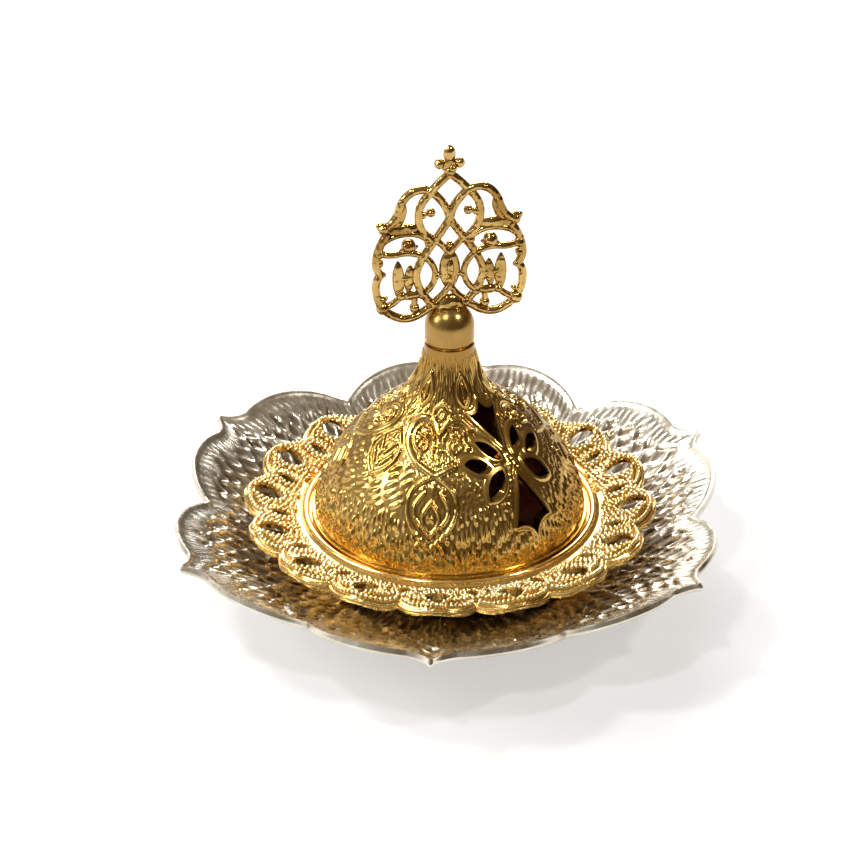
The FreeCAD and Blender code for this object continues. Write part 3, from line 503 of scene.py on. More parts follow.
def turned(name, section, steps, sectors):
    """Spin a closed section of radius and height through one sector, and copy that all the way round."""
    item = chain(name, [(radius, 0, height) for radius, height in [*section, section[0]]])
    sector = math.tau / sectors
    bpy.ops.mesh.spin(steps=steps // sectors, angle=sector, center=(0, 0, 0), axis=(0, 0, 1))
    leave_edit_mode()
    copies = [item]
    for number in range(1, sectors):
        copy = linked(name, item.data.copy())
        copy.rotation_euler.z = number * sector
        copies.append(copy)
    item = joined(name, copies)
    edit_all()
    bpy.ops.mesh.remove_doubles(threshold=SEAM_GAP)
    bpy.ops.mesh.normals_make_consistent(inside=False)
    leave_edit_mode()
    return item


def prism(name, outline, way):
    """A solid with a plane outline, extruded one way."""
    item = chain(name, outline)
    bpy.ops.mesh.edge_face_add()
    bpy.ops.mesh.extrude_region_move(TRANSFORM_OT_translate={"value": way})
    bpy.ops.mesh.select_all(action="SELECT")
    bpy.ops.mesh.normals_make_consistent(inside=False)
    leave_edit_mode()
    return item


def cut(item, cutters):
    """Cut a group of solids out of a piece, and clear away the slivers that this leaves."""
    cutter = joined("cutters", cutters)
    pick(item)
    modifier = item.modifiers.new("Cut", "BOOLEAN")
    modifier.object = cutter
    modifier.operation = "DIFFERENCE"
    modifier.solver = "MANIFOLD"
    bpy.ops.object.modifier_apply(modifier=modifier.name)
    bpy.data.objects.remove(cutter)
    edit_all()
    bpy.ops.mesh.remove_doubles(threshold=SLIVER)
    bpy.ops.mesh.dissolve_degenerate(threshold=SLIVER)
    leave_edit_mode()


def tube(name, places, radius, closed=False, smooth=False):
    """A round wire along a list of places, as a mesh."""
    roundness, steps_between = 3, 8
    curve = bpy.data.curves.new(name, "CURVE")
    curve.dimensions = "3D"
    curve.bevel_depth = radius
    curve.bevel_resolution = roundness
    curve.use_fill_caps = True
    if smooth:
        spline = curve.splines.new("BEZIER")
        spline.bezier_points.add(len(places) - 1)
        for point, place in zip(spline.bezier_points, places):
            point.co = place
            point.handle_left_type = point.handle_right_type = "AUTO"
        spline.resolution_u = steps_between
    else:
        spline = curve.splines.new("POLY")
        spline.points.add(len(places) - 1)
        for point, place in zip(spline.points, places):
            point.co = (*place, 1)
    spline.use_cyclic_u = closed
    pick(linked(name, curve))
    bpy.ops.object.convert(target="MESH")
    item = bpy.context.object
    smoothed(item, angle=60)
    return item


def places_of(item):
    """All points of a mesh as rows."""
    places = np.empty(len(item.data.vertices) * 3)
    item.data.vertices.foreach_get("co", places)
    return places.reshape(-1, 3)


def put_places(item, places):
    """Move all points of a mesh to these rows."""
    item.data.vertices.foreach_set("co", places.ravel())
    item.data.update()


def note_painted_shade(item, height):
    """Keep a share per point, from 0 in the hollows to 1 on the ridges, which the finish darkens into painted
    shade where it is low.
    """
    layer = item.data.attributes.new("relief", "FLOAT", "POINT")
    layer.data.foreach_set("value", np.clip(height, 0, 1))


def smoothed(item, angle):
    """Shade smooth except over edges that are sharper than an angle in degrees."""
    pick(item)
    bpy.ops.object.shade_smooth_by_angle(angle=math.radians(angle))


def finished(item, body, slot, material, *nodes):
    """Give a piece its finish, its body and the frame nodes that it stands for. The material slot is not
    used.
    """
    item.data.materials.clear()
    item.data.materials.append(material)
    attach(item, body)
    if nodes:
        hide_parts(*nodes)


class Nodes:
    """Node tree of a new material, with a few short calls to build it."""

    def __init__(self, name):
        self.material = bpy.data.materials.new(name)
        self.material.use_nodes = True
        self.tree = self.material.node_tree
        self.shader = self.tree.nodes["Principled BSDF"]

    def add(self, kind, **values):
        """A new node with these settings."""
        node = self.tree.nodes.new(kind)
        for key, value in values.items():
            setattr(node, key, value)
        return node

    def link(self, source, target):
        """Join two sockets."""
        self.tree.links.new(source, target)

    def noise(self, scale, detail=3.0, stretch=None):
        """Noise on the piece's own coordinates, with a scale per metre."""
        spot = self.add("ShaderNodeTexCoord").outputs["Object"]
        if stretch:
            mapping = self.add("ShaderNodeMapping")
            mapping.inputs["Scale"].default_value = stretch
            self.link(spot, mapping.inputs["Vector"])
            spot = mapping.outputs["Vector"]
        noise = self.add("ShaderNodeTexNoise")
        noise.inputs["Scale"].default_value = scale
        noise.inputs["Detail"].default_value = detail
        self.link(spot, noise.inputs["Vector"])
        return noise.outputs["Fac"]

    def between(self, value, low, high, bottom=0.0, top=1.0):
        """Map a value's range onto another one."""
        node = self.add("ShaderNodeMapRange")
        for key, number in zip(("From Min", "From Max", "To Min", "To Max"), (low, high, bottom, top)):
            node.inputs[key].default_value = number
        self.link(value, node.inputs["Value"])
        return node.outputs["Result"]

    def mix(self, share, first, second):
        """Mix two colours, each a colour or a socket."""
        node = self.add("ShaderNodeMix", data_type="RGBA")
        self.link(share, node.inputs["Factor"])
        for source, target in ((first, node.inputs["A"]), (second, node.inputs["B"])):
            if isinstance(source, bpy.types.NodeSocket):
                self.link(source, target)
            else:
                target.default_value = (*source, 1)
        return node.outputs["Result"]

    def bump(self, height, strength, distance, under=None):
        """Bump from a height, on top of another bump."""
        node = self.add("ShaderNodeBump")
        node.inputs["Strength"].default_value = strength
        node.inputs["Distance"].default_value = distance
        self.link(height, node.inputs["Height"])
        if under:
            self.link(under, node.inputs["Normal"])
        return node.outputs["Normal"]


def plated(name, colour, shade, roughness, hollow=None, hollow_end=0.55, grain=0.12, brushed=None,
           uneven=0.0):
    """Plated metal: a mottled tone, uneven gloss and a fine grain, with painted shade darkening the hollows
    of a relief.
    """
    mottle_scale, gloss_scale, grain_scale, brush_scale, wave_scale = 160, 420, 2600, 900, 650
    mottle_range, gloss_range = (0.35, 0.68), (0.3, 0.7)
    glossy, dull = 0.75, 1.35
    deepest, brush_strength = 0.85, 0.3
    grain_depth, wave_depth = 0.02 * MM, 0.6 * MM
    nodes = Nodes(name)
    nodes.shader.inputs["Metallic"].default_value = 1.0
    tone = nodes.mix(nodes.between(nodes.noise(mottle_scale), *mottle_range), colour, shade)
    # hollow is the colour of painted shade, mixed in where the noted share is low
    if hollow:
        relief = nodes.add("ShaderNodeAttribute", attribute_name="relief").outputs["Fac"]
        tone = nodes.mix(nodes.between(relief, 0.0, hollow_end, deepest, 0.0), tone, hollow)
    nodes.link(tone, nodes.shader.inputs["Base Color"])
    patches = nodes.noise(gloss_scale, detail=4.0)
    gloss = nodes.between(patches, *gloss_range, roughness * glossy, roughness * dull)
    nodes.link(gloss, nodes.shader.inputs["Roughness"])
    normal = nodes.bump(nodes.noise(grain_scale, detail=2.0), grain, grain_depth)
    if brushed:
        lines = nodes.noise(brush_scale, stretch=brushed)
        normal = nodes.bump(lines, brush_strength, grain_depth, normal)
    if uneven:
        normal = nodes.bump(nodes.noise(wave_scale, detail=1.0), uneven, wave_depth, normal)
    nodes.link(normal, nodes.shader.inputs["Normal"])
    return nodes.material


def finish(name):
    """The finish of that name, made the first time that it is asked for."""
    if name in bpy.data.materials:
        return bpy.data.materials[name]
    tone = bpy.context.scene.burner_finishes
    level, upright = (0.3, 0.3, 3.0), (3.0, 3.0, 0.3)
    gold, silver = (tone.gold, tone.gold_shade), (tone.silver, tone.silver_shade)
    steel, painted_shade_inside = (tone.steel, tone.steel_shade), (tone.painted_shade_inside, tone.painted_shade_inside_deeper)
    antique = (tone.antique, tone.antique_shade)
    looks = {
        "smooth_gold": (*gold, dict(roughness=0.16)),
        "satin_gold": (tone.satin, tone.cast_shade, dict(roughness=0.25, brushed=level)),
        "chased_gold": (*antique, dict(roughness=0.17, hollow=tone.antique_painted_shade)),
        # the lace's hollow colour is its painted shade between the beads
        "lace_gold_painted_shade": (*gold, dict(roughness=0.16, hollow=tone.antique)),
        "bead_gold": (tone.pale, tone.pale_shade, dict(roughness=0.12)),
        "cast_gold": (tone.cast, tone.cast_shade, dict(roughness=0.12, grain=0.25, uneven=0.7)),
        "embossed_silver": (*silver, dict(roughness=0.25, hollow=tone.silver_painted_shade, hollow_end=0.85)),
        "smooth_silver": (*silver, dict(roughness=0.2)),
        "painted_shade_inside_gold": (*painted_shade_inside, dict(roughness=0.45, grain=0.4)),
        "turned_steel": (*steel, dict(roughness=0.3, brushed=upright)),
    }
    colour, shade, surface = looks[name]
    return plated(name, colour, shade, **surface)


def dish_height(dish, radius):
    """Height of the dish's upper face at a distance from the axis: flat floor, hollow, then crown."""
    rise = dish.turn_height - dish.floor_height
    run = dish.turn_radius - dish.floor_radius
    bend = (run ** 2 + rise ** 2) / (2 * rise)
    slope = math.asin(run / bend)
    turn = np.array([dish.turn_radius, dish.turn_height])
    heading = (math.cos(slope), math.sin(slope))
    centre = tangent_centre(turn, heading, (dish.crown_radius, dish.crown_height))
    reach = np.linalg.norm(turn - centre)
    into_hollow = np.clip(radius - dish.floor_radius, 0, run)
    hollow = dish.floor_height + bend - np.sqrt(bend ** 2 - into_hollow ** 2)
    crown = centre[1] + np.sqrt(np.maximum(reach ** 2 - (radius - centre[0]) ** 2, 0))
    return np.where(radius < dish.turn_radius, hollow, crown)


def dish_reach(dish):
    """The dish's outline from a notch to the next spur, as angles and distances from the axis."""
    shoulder_points, spur_points = 60, 16
    half_petal = math.pi / dish.petals
    foot = spoke(dish.shoulder_radius, half_petal - dish.spur_angle)
    tip = spoke(dish.tip_radius, half_petal)
    shoulder = arc((dish.notch_radius, 0), foot, dish.shoulder_bend, LEFT, shoulder_points)
    spur = arc(foot, tip, dish.spur_bend, RIGHT, spur_points)
    angle, radius = polar(np.vstack([shoulder, spur[1:]]))
    return np.maximum.accumulate(angle), np.minimum(radius, dish.tip_radius - dish.spur_blunt)


def almonds(across, along, chance):
    """Depth from 0 to 1 of almond hollows on a grid with a step of 1, and of the same halfway between."""
    side_shift, point_power = 0.25, 1.7
    longest, shorter = 1.45, 0.35
    narrowest, wider = 0.46, 0.08
    shallowest, deeper = 0.65, 0.35
    edge, bottom = -0.05, 0.8
    depth = np.zeros(len(across))
    for offset in (0.0, 0.5):
        column = np.round(across - offset)
        row = np.round(along - offset)
        luck = chance[column.astype(int) % len(chance), row.astype(int) % chance.shape[1]]
        side = np.abs(across - offset - column + side_shift * (luck - 0.5))
        end = np.abs(along - offset - row) * (longest + shorter * luck)
        inside = 1 - np.clip(end, 0, 1) ** point_power - side / (narrowest + wider * luck)
        depth = np.maximum(depth, soft_step(edge, bottom, inside) * (shallowest + deeper * luck))
    return depth


def dish_cells(dish, angle, radius, chance):
    """Depth from 0 to 1 of the almond hollows, in rows that sway a little."""
    # How far a wave sways the cells, its crests round the dish, and its step outward per radian
    sways = ((0.2, 9, 4.1 * MM), (0.07, 23, -2.9 * MM))
    ripple, ripples = 0.14, 17
    sway = sum(size * np.sin(crests * angle + radius / step) for size, crests, step in sways)
    across = angle / (math.tau / dish.petals) * dish.cells + sway
    along = radius / dish.cell_length + ripple * np.sin(ripples * angle)
    return almonds(across, along, chance)


def dish_ribs(dish, angle, to_rim, chance):
    """Depth from 0 to 1 of the furrows between the ribs along the rim, and where they take over."""
    sway, sway_step, sways = 0.2, 1.3 * MM, 31
    start, blend = 1.2 * MM, 0.8 * MM
    shortest, longer = 4.2, 2.4
    chance_column, edge_points = 3, 400
    turns = np.linspace(0, math.pi / dish.petals, edge_points)
    edge = np.interp(turns, *dish_reach(dish))
    length = np.concatenate([[0], np.cumsum(np.hypot(np.diff(edge), edge[1:] * np.diff(turns)))])
    along_rim = np.interp(folded(angle, dish.petals), turns, length)
    rib = along_rim / dish.rib_pitch + sway * np.sin(to_rim / sway_step + sways * angle)
    luck = chance[np.floor(rib).astype(int), chance_column]
    furrow = 1 - (2 * (rib - np.floor(rib)) - 1) ** 2
    in_ribs = soft_step(blend, -blend, to_rim - (shortest + longer * luck) * MM)
    return furrow * soft_step(dish.rim_band, dish.rim_band + start, to_rim), in_ribs


def dish_relief(dish, angle, radius, reach):
    """Height of the dish's relief, and its share from hollow to ridge, which the finish turns into painted
    shade in the hollows.
    """
    roll_height, seam_height = 0.35 * MM, 0.15 * MM
    seam_half_width, seam_end, seam_full = 0.9 * MM, 12 * MM, 7 * MM
    floor_fade = 3 * MM
    band_end, band_full = dish.rim_band * 1.1, dish.rim_band * 0.85
    chance = np.random.default_rng(SEED).random(CELL_CHANCES)
    to_rim = reach - radius
    cells = dish_cells(dish, angle, radius, chance)
    ribs, in_ribs = dish_ribs(dish, angle, to_rim, chance)
    hollow = (1 - in_ribs) * cells * dish.cell_depth + in_ribs * ribs * dish.rib_height
    band = soft_step(band_end, band_full, to_rim)
    roll = np.sqrt(ridge(to_rim - dish.rim_band / 2, dish.rim_band / 2))
    seam = ridge(radius * np.abs(np.sin(folded(angle, dish.petals))), seam_half_width)
    seam *= soft_step(seam_end, seam_full, to_rim)
    hollow = hollow * (1 - seam) * (1 - band)
    fade = soft_step(dish.floor_radius, dish.floor_radius + floor_fade, radius)
    height = (band * roll * roll_height + seam * seam_height - hollow) * fade
    return height, 1 - hollow / dish.cell_depth


class BURNER_OT_petal_dish(Operator):
    """Turn the dish, stretch it to its petals and press its hollows and ribs"""

    bl_idname = "burner.petal_dish"
    bl_label = "Petal Dish"

    BLANK = 50 * MM
    STRETCH_START = 34 * MM
    BULGE = 0.45 * MM

    def execute(self, context):
        dish = context.scene.burner_dish
        skin = 0.05 * MM
        item = turned("petal_dish", self.section(dish), dish.steps, dish.petals)
        places = places_of(item)
        angle, radius = polar(places)
        on_top = places[:, 2] > dish_height(dish, radius) - skin
        fold = folded(angle, dish.petals)
        reach = np.interp(fold, *dish_reach(dish))
        spread = stretched(radius, self.STRETCH_START, self.BLANK + self.BULGE, reach)
        rise = dish_height(dish, spread) - dish_height(dish, radius)
        rise += dish.curl * np.sin(fold * dish.petals) * soft_step(self.STRETCH_START, self.BLANK, radius)
        height, share = dish_relief(dish, angle, spread, reach)
        put_polar(places, angle, spread)
        places[:, 2] += rise + np.where(on_top, height, 0)
        put_places(item, places)
        # Painted shade: the finish darkens the cells and furrows by this share.
        note_painted_shade(item, np.where(on_top, share, 1))
        smoothed(item, angle=60)
        finished(item, "base", "silver_plate", finish("embossed_silver"), "lotus_tray")
        return {"FINISHED"}

    def section(self, dish):
        """Section of the round blank, with closer rings where the relief will be and fewer underneath."""
        floor_ring, hollow_ring = 10 * MM, 29 * MM
        wide, close, petal_rings = 1.8 * MM, 0.6 * MM, 47
        step_below, rim_points, rim_bend = 8, 7, 0.56
        rings = np.concatenate([
            [dish.bore, floor_ring],
            np.arange(dish.floor_radius, hollow_ring, wide),
            np.arange(hollow_ring, self.STRETCH_START, close),
            np.linspace(self.STRETCH_START, self.BLANK, petal_rings),
        ])
        upper = np.column_stack([rings, dish_height(dish, rings)])
        lower = upper[::step_below][::-1] - [0, dish.wall]
        under_rim = upper[-1] - [0, dish.wall]
        rim = arc(upper[-1], under_rim, dish.wall * rim_bend, RIGHT, rim_points)
        rim[:, 0] = self.BLANK + self.BULGE * np.sin(np.linspace(0, math.pi, rim_points))
        if lower[0, 0] < self.BLANK:
            lower = np.vstack([under_rim, lower])
        return np.vstack([upper, rim[1:-1], lower])


def inside_leaf(places, leaf, turn):
    """How far each place lies inside a leaf-shaped hole whose ends lie on a ray at that angle."""
    inner, outer, bend = leaf
    along, across = rotated(places, -turn).T
    offset = math.sqrt(bend ** 2 - ((outer - inner) / 2) ** 2)
    return bend - np.hypot(along - (inner + outer) / 2, np.abs(across) + offset)


def leaf_outline(inner, outer, bend):
    """Outline of a leaf with pointed ends."""
    count = 11
    return np.vstack([arc(inner, outer, bend, LEFT, count), arc(outer, inner, bend, LEFT, count)[1:-1]])


def lobe_outline(saucer):
    """Outline of the upper half of one round lobe, from its tip on the X axis to the notch's root."""
    count = 48
    reach = saucer.radius - saucer.notch_depth
    tip, notch = np.array([saucer.radius, 0]), spoke(reach, math.pi / saucer.lobes)
    centre = (saucer.radius ** 2 - reach ** 2) / (2 * (saucer.radius - notch[0]))
    return around(np.array([centre, 0]), tip, notch, count)


def inset(outline, depth):
    """An outline moved towards the axis."""
    return outline * (1 - depth / np.linalg.norm(outline, axis=1))[:, None]


def on_all_lobes(saucer, plan):
    """Places of one lobe's plan, repeated on every lobe."""
    return np.vstack([rotated(plan, n * math.tau / saucer.lobes) for n in range(saucer.lobes)])


def saucer_section(saucer, radius):
    """Height of the lace's section before it is shaped into lobes."""
    count = 24
    crest, edge = (saucer.crest_radius, saucer.crest_height), (saucer.radius, saucer.edge_height)
    roll = arc(crest, edge, saucer.edge_bend, RIGHT, count)
    line = np.vstack([[(saucer.start_radius, saucer.start_height)], roll])
    return np.interp(radius, line[:, 0], line[:, 1])


def lobe_shape(saucer, angle):
    """Reach of the lobes at each angle, and the share from 1 on a lobe's axis to -1 in a notch."""
    fold = folded(angle, saucer.lobes)
    return np.interp(fold, *polar(lobe_outline(saucer))), np.cos(fold * saucer.lobes)


def lobe_lift(saucer, radius, share):
    """How far the lobes rise above the turned section."""
    lift_power = 1.4
    out = np.clip((radius - saucer.start_radius) / (saucer.radius - saucer.start_radius), 0, 1)
    return saucer.lobe_rise * share * out ** lift_power


def lace_height(saucer, places):
    """Height of the lace's upper face at places of its plan."""
    angle, radius = polar(places)
    reach, share = lobe_shape(saucer, angle)
    start = saucer.start_radius
    turned_radius = start + (radius - start) * (saucer.radius - start) / (reach - start)
    return saucer_section(saucer, turned_radius) + lobe_lift(saucer, radius, share)


def spaced(line, step):
    """Places along a line, about a step apart."""
    total = lengths(line)[-1]
    return at_marks(line, np.linspace(0, total, max(2, round(total / step) + 1)))


def bead_places(saucer):
    """Places of the beads on one lobe: a row along its edge, then rows round its holes."""
    grid, half_breadth, start_gap = 0.1 * MM, 8 * MM, 0.2 * MM
    wire_share, hole_share, seam_share, axis_share = 1.8, 0.8, 0.45, 0.5
    row_width, row_weight = 0.35 * MM, 100
    half_lobe = math.pi / saucer.lobes
    gap, bead = saucer.bead_gap, saucer.bead_radius
    border = saucer.edge_wire * wire_share + bead
    beads = list(spaced(inset(lobe_outline(saucer), border), gap)[:-1])
    low = saucer.start_radius + start_gap
    along, sideways = np.arange(low, saucer.radius, grid), np.arange(0, half_breadth, grid)
    places = np.array([(x, y) for x in along for y in sideways])
    angle, radius = polar(places)
    reach = lobe_shape(saucer, angle)[0]
    window, tongue = inside_leaf(places, saucer.window, 0), inside_leaf(places, saucer.tongue, half_lobe)
    holes = np.maximum(window, tongue)
    clear = np.sin(half_lobe - angle) * radius
    keep = (angle <= half_lobe) & (radius < reach - border) & (radius > low)
    keep &= (holes < -hole_share * bead) & (clear > gap * seam_share)
    keep &= (places[:, 1] < grid / 2) | (places[:, 1] > gap * axis_share)
    rows = -np.round(holes[keep] / row_width) * row_weight
    order = np.argsort(rows + radius[keep] / MM, kind="stable")
    for place in places[keep][order]:
        if np.min(np.linalg.norm(np.array(beads) - place, axis=1)) >= gap:
            beads.append(place)
    half = np.array(beads)
    return np.vstack([half, (half * [1, -1])[half[:, 1] > grid]])


class BURNER_OT_lace_saucer(Operator):
    """Turn the saucer, shape its lobes, cut its lace and set the beads and the edge wire"""

    bl_idname = "burner.lace_saucer"
    bl_label = "Lace Saucer"

    def execute(self, context):
        saucer = context.scene.burner_saucer
        self.shell(saucer)
        self.beads(saucer)
        self.edge_wire(saucer)
        return {"FINISHED"}

    def section(self, saucer):
        """Section of the turned saucer: well, lace, collar and ledge."""
        lace_rings, roll_points = 22, 12
        roll_start, roll_end = -0.1, math.pi + 0.3
        seat, wall = saucer.seat, saucer.wall
        mouth, throat = saucer.screw_mouth
        well, ledge, collar = saucer.well_radius, saucer.ledge_height, saucer.collar_radius
        rings = np.linspace(saucer.start_radius, saucer.radius, lace_rings)
        height = saucer_section(saucer, rings)
        turns = np.linspace(roll_start, roll_end, roll_points)
        roll = saucer.collar_bend
        across, up = collar + roll + roll * np.cos(turns), saucer.collar_height - roll + roll * np.sin(turns)
        return np.vstack([
            [(throat, seat), (well + wall, seat), (well + wall, saucer.start_height - wall)],
            np.column_stack([rings, height - np.linspace(wall, saucer.edge_wall, lace_rings)]),
            np.column_stack([rings, height])[::-1],
            np.column_stack([across, up]),
            [(collar, ledge), (well, ledge), (well, seat + wall), (mouth, seat + wall)],
        ])

    def shell(self, saucer):
        """The saucer itself, with its lace cut through."""
        steps_per_lobe, below_ledge, hole_depth = 28, 4 * MM, 9 * MM
        start = saucer.start_radius
        item = turned("lace_saucer_shell", self.section(saucer), saucer.lobes * steps_per_lobe, saucer.lobes)
        places = places_of(item)
        angle, radius = polar(places)
        reach, share = lobe_shape(saucer, angle)
        radius = stretched(radius, start, saucer.radius, reach)
        put_polar(places, angle, radius)
        places[:, 2] += lobe_lift(saucer, radius, share)
        put_places(item, places)
        cutters = []
        for number in range(saucer.lobes):
            for (inner, outer, bend), place in ((saucer.window, number), (saucer.tongue, number + 0.5)):
                leaf = leaf_outline((inner, 0), (outer, 0), bend)
                plan = rotated(leaf, place * math.tau / saucer.lobes)
                outline = [(x, y, saucer.ledge_height - below_ledge) for x, y in plan]
                cutters.append(prism("hole", outline, (0, 0, hole_depth)))
        cut(item, cutters)
        smoothed(item, angle=50)
        radius = polar(places_of(item))[1]
        # Painted shade: the lace round the beads turns antique gold, while the collar keeps its bright gold.
        note_painted_shade(item, 1 - soft_step(start, start + saucer.wall, radius))
        finished(item, "base", "gold_plate", finish("lace_gold_painted_shade"), "lace_saucer")

    def beads(self, saucer):
        """Rows of small beads on the lace, as one piece."""
        segments, rings, proud = 7, 5, 0.75
        bead = sphere(segments, rings, saucer.bead_radius)
        shape = places_of(bead)
        sides = [tuple(face.vertices) for face in bead.data.polygons]
        bpy.data.objects.remove(bead)
        spots = on_all_lobes(saucer, bead_places(saucer))
        centres = np.column_stack([spots, lace_height(saucer, spots) + proud * saucer.bead_radius])
        points = (centres[:, None, :] + shape[None]).reshape(-1, 3)
        starts = range(0, len(points), len(shape))
        faces = [tuple(start + corner for corner in side) for start in starts for side in sides]
        mesh = bpy.data.meshes.new("saucer_beads")
        mesh.from_pydata(points.tolist(), [], faces)
        item = linked("saucer_beads", mesh)
        smoothed(item, angle=180)
        finished(item, "base", "gold_plate", finish("bead_gold"))

    def edge_wire(self, saucer):
        """A plain wire along the edge of the lobes."""
        sunk = 0.8
        half = inset(lobe_outline(saucer), saucer.edge_wire * sunk)
        lobe = np.vstack([(half * [1, -1])[::-1], half[1:]])[:-1]
        line = on_all_lobes(saucer, lobe)
        line = np.column_stack([line, lace_height(saucer, line)])
        wire = tube("saucer_edge_wire", line, saucer.edge_wire, closed=True)
        finished(wire, "base", "gold_plate", finish("smooth_gold"))


def dome_outline(lid):
    """The dome's outer section from springing to neck, as radii and heights."""
    belly_points, sweep_points = 400, 240
    springing = np.array([lid.radius, lid.seat + lid.flange_height])
    turn = np.array([lid.turn[0], lid.seat + lid.turn[1]])
    neck = np.array([lid.neck[0], lid.seat + lid.neck[1]])
    belly = arc(springing, turn, lid.belly_bend, LEFT, belly_points)
    heading = (belly[-1] - belly[-2]) / np.linalg.norm(belly[-1] - belly[-2])
    sweep = around(tangent_centre(turn, heading, neck), turn, neck, sweep_points)
    return np.vstack([belly, sweep[1:]])


def vent_outlines():
    """Outlines of one vent group: across from its axis and height above the lid's seat, in millimetres."""
    count = 9
    shapes = []
    for apex, corner, point, bend, side in VENT_KITES:
        bite = arc(corner, point, bend, side, count)
        other_bite = arc(point, (-corner[0], corner[1]), bend, side, count)
        shapes.append(np.vstack([[apex], bite, other_bite[1:]]))
    for inner, outer, bend in VENT_LEAVES:
        leaf = leaf_outline(inner, outer, bend)
        shapes += [leaf, leaf * [-1, 1]]
    return shapes


def droplets(across, along, pitch, length, chance):
    """Upright dashes in columns: how high each place stands on one, from 0 to 1."""
    side_shift, narrowest, wider = 0.35, 0.3, 0.12
    shortest, longer = 0.3, 0.2
    lowest, higher, roundness = 0.55, 0.45, 0.7
    column_stride, row_stride = 7, 13
    column = np.floor(across / pitch)
    luck = chance[column.astype(int) % len(chance)]
    row = np.floor(along / length + luck[:, 0])
    fate = chance[(column.astype(int) * column_stride + row.astype(int) * row_stride) % len(chance)]
    side = across / pitch - column - 0.5 + side_shift * (fate[:, 1] - 0.5)
    side /= narrowest + wider * fate[:, 2]
    end = (along / length + luck[:, 0] - row - 0.5) / (shortest + longer * fate[:, 3])
    return np.clip(1 - side ** 2 - end ** 2, 0, 1) ** roundness * (lowest + higher * fate[:, 4])


def grains(across, along, pitch, chance):
    """Stippled ground: how high each place stands on a scattered grain, from 0 to 1."""
    smallest, larger, roundness = 0.34, 0.14, 0.7
    column_stride, row_stride = 31, 57
    best = np.zeros(len(across))
    column, row = np.floor(across / pitch).astype(int), np.floor(along / pitch).astype(int)
    for x in (-1, 0, 1):
        for y in (-1, 0, 1):
            fate = chance[((column + x) * column_stride + (row + y) * row_stride) % len(chance)]
            dx = across / pitch - column - x - fate[:, 0]
            dy = along / pitch - row - y - fate[:, 1]
            best = np.maximum(best, 1 - (dx ** 2 + dy ** 2) / (smallest + larger * fate[:, 2]) ** 2)
    return np.clip(best, 0, 1) ** roundness


def dome_ground(lid, angle, up, chance):
    """Share and tone of the ground between the motifs, with slanting strokes beside the sprays; the tone
    darkens towards the neck as painted shade.
    """
    heights = {
        "dashes": lid.dash_height / lid.line_height,
        "stipple": lid.stipple_height / lid.line_height,
        "scales": 0.75,
        "strokes": 0.9,
        "flutes": 0.8,
    }
    spray_end, spray_full = 0.55, 0.4
    pale, darker, neck_foot, neck_top = 0.5, 0.42, 31, 37
    marks, inside = {}, {}
    for name, (unrolled, pitch, length, limits) in MARKS.items():
        across, along = angle * unrolled, up
        if name == "strokes":
            across, along = (up - across) / math.sqrt(2), (up + across) / math.sqrt(2)
        if name == "stipple":
            marks[name] = grains(across, along, pitch, chance) * heights[name]
        else:
            marks[name] = droplets(across, along, pitch, length, chance) * heights[name]
        inside[name] = zone(up, *limits)
    from_sprays = np.min([np.abs(wrapped(angle - turn)) for turn in SPRAY_ANGLES], axis=0)
    beside = soft_step(spray_end, spray_full, from_sprays) * inside["strokes"]
    share = sum(marks[name] * inside[name] for name in ("dashes", "stipple", "scales"))
    share = share * (1 - beside) + marks["strokes"] * beside
    share = np.maximum(share, marks["flutes"] * inside["flutes"])
    # Painted shade: the ground's tone falls towards the neck, so the neck turns dark.
    return share, pale - darker * soft_step(neck_foot, neck_top, up)


def dome_motifs(lid):
    """Angle, lines, pearls and half breadth in millimetres of every motif on the dome."""
    medallion_reach, spray_reach, lancet_reach = 6.8, 4.2, 1.8
    medallions = [turn + way * lid.medallion_angle for turn in VENT_ANGLES for way in (LEFT, RIGHT)]
    lancets = [LANCET_ANGLE + n * math.tau / LANCETS for n in range(LANCETS)]
    motifs = [(turn, MEDALLION_LINES, MEDALLION_PEARLS, medallion_reach) for turn in medallions]
    motifs += [(turn, SPRAY_LINES, SPRAY_PEARLS, spray_reach) for turn in SPRAY_ANGLES]
    return motifs + [(turn, LANCET_LINES, [], lancet_reach) for turn in lancets]


def drawn_motif(lid, places, lines, pearls):
    """Height of a motif's lines and pearls, and the share of the ground that is kept beside its lines."""
    per_span, steepness, pearl_radius = 5, 1.7, 0.5
    furrow_start, furrow_end = 0.1, 0.75
    drawn, apart = np.zeros(len(places)), np.full(len(places), np.inf)
    for name, line in lines.items():
        half_width = lid.line_half_width / MM * (BOLD_SHARE if name == BOLD_LINE else 1.0)
        for half in (line, mirrored(line)):
            away = nearest(places, smooth_line(half, per_span))
            drawn = np.maximum(drawn, np.minimum(steepness * ridge(away, half_width), 1))
            apart = np.minimum(apart, away - half_width)
    for pearl in [*pearls, *mirrored(pearls)]:
        drawn = np.maximum(drawn, ridge(np.hypot(*(places - pearl).T), pearl_radius))
    return drawn, soft_step(furrow_start, furrow_end, apart)


def vent_borders(places):
    """Height of the borders round the vents, and the share of the ground that is kept beside them."""
    half_width, steepness, border_share, furrow_end = 0.7, 2, 0.6, 1.4
    border, margin = np.zeros(len(places)), np.ones(len(places))
    for shape in vent_outlines():
        away = nearest(places, np.vstack([shape, shape[:1]]))
        border = np.maximum(border, np.minimum(steepness * ridge(away, half_width), 1))
        margin = np.minimum(margin, soft_step(half_width, furrow_end, away))
    return border * border_share, margin


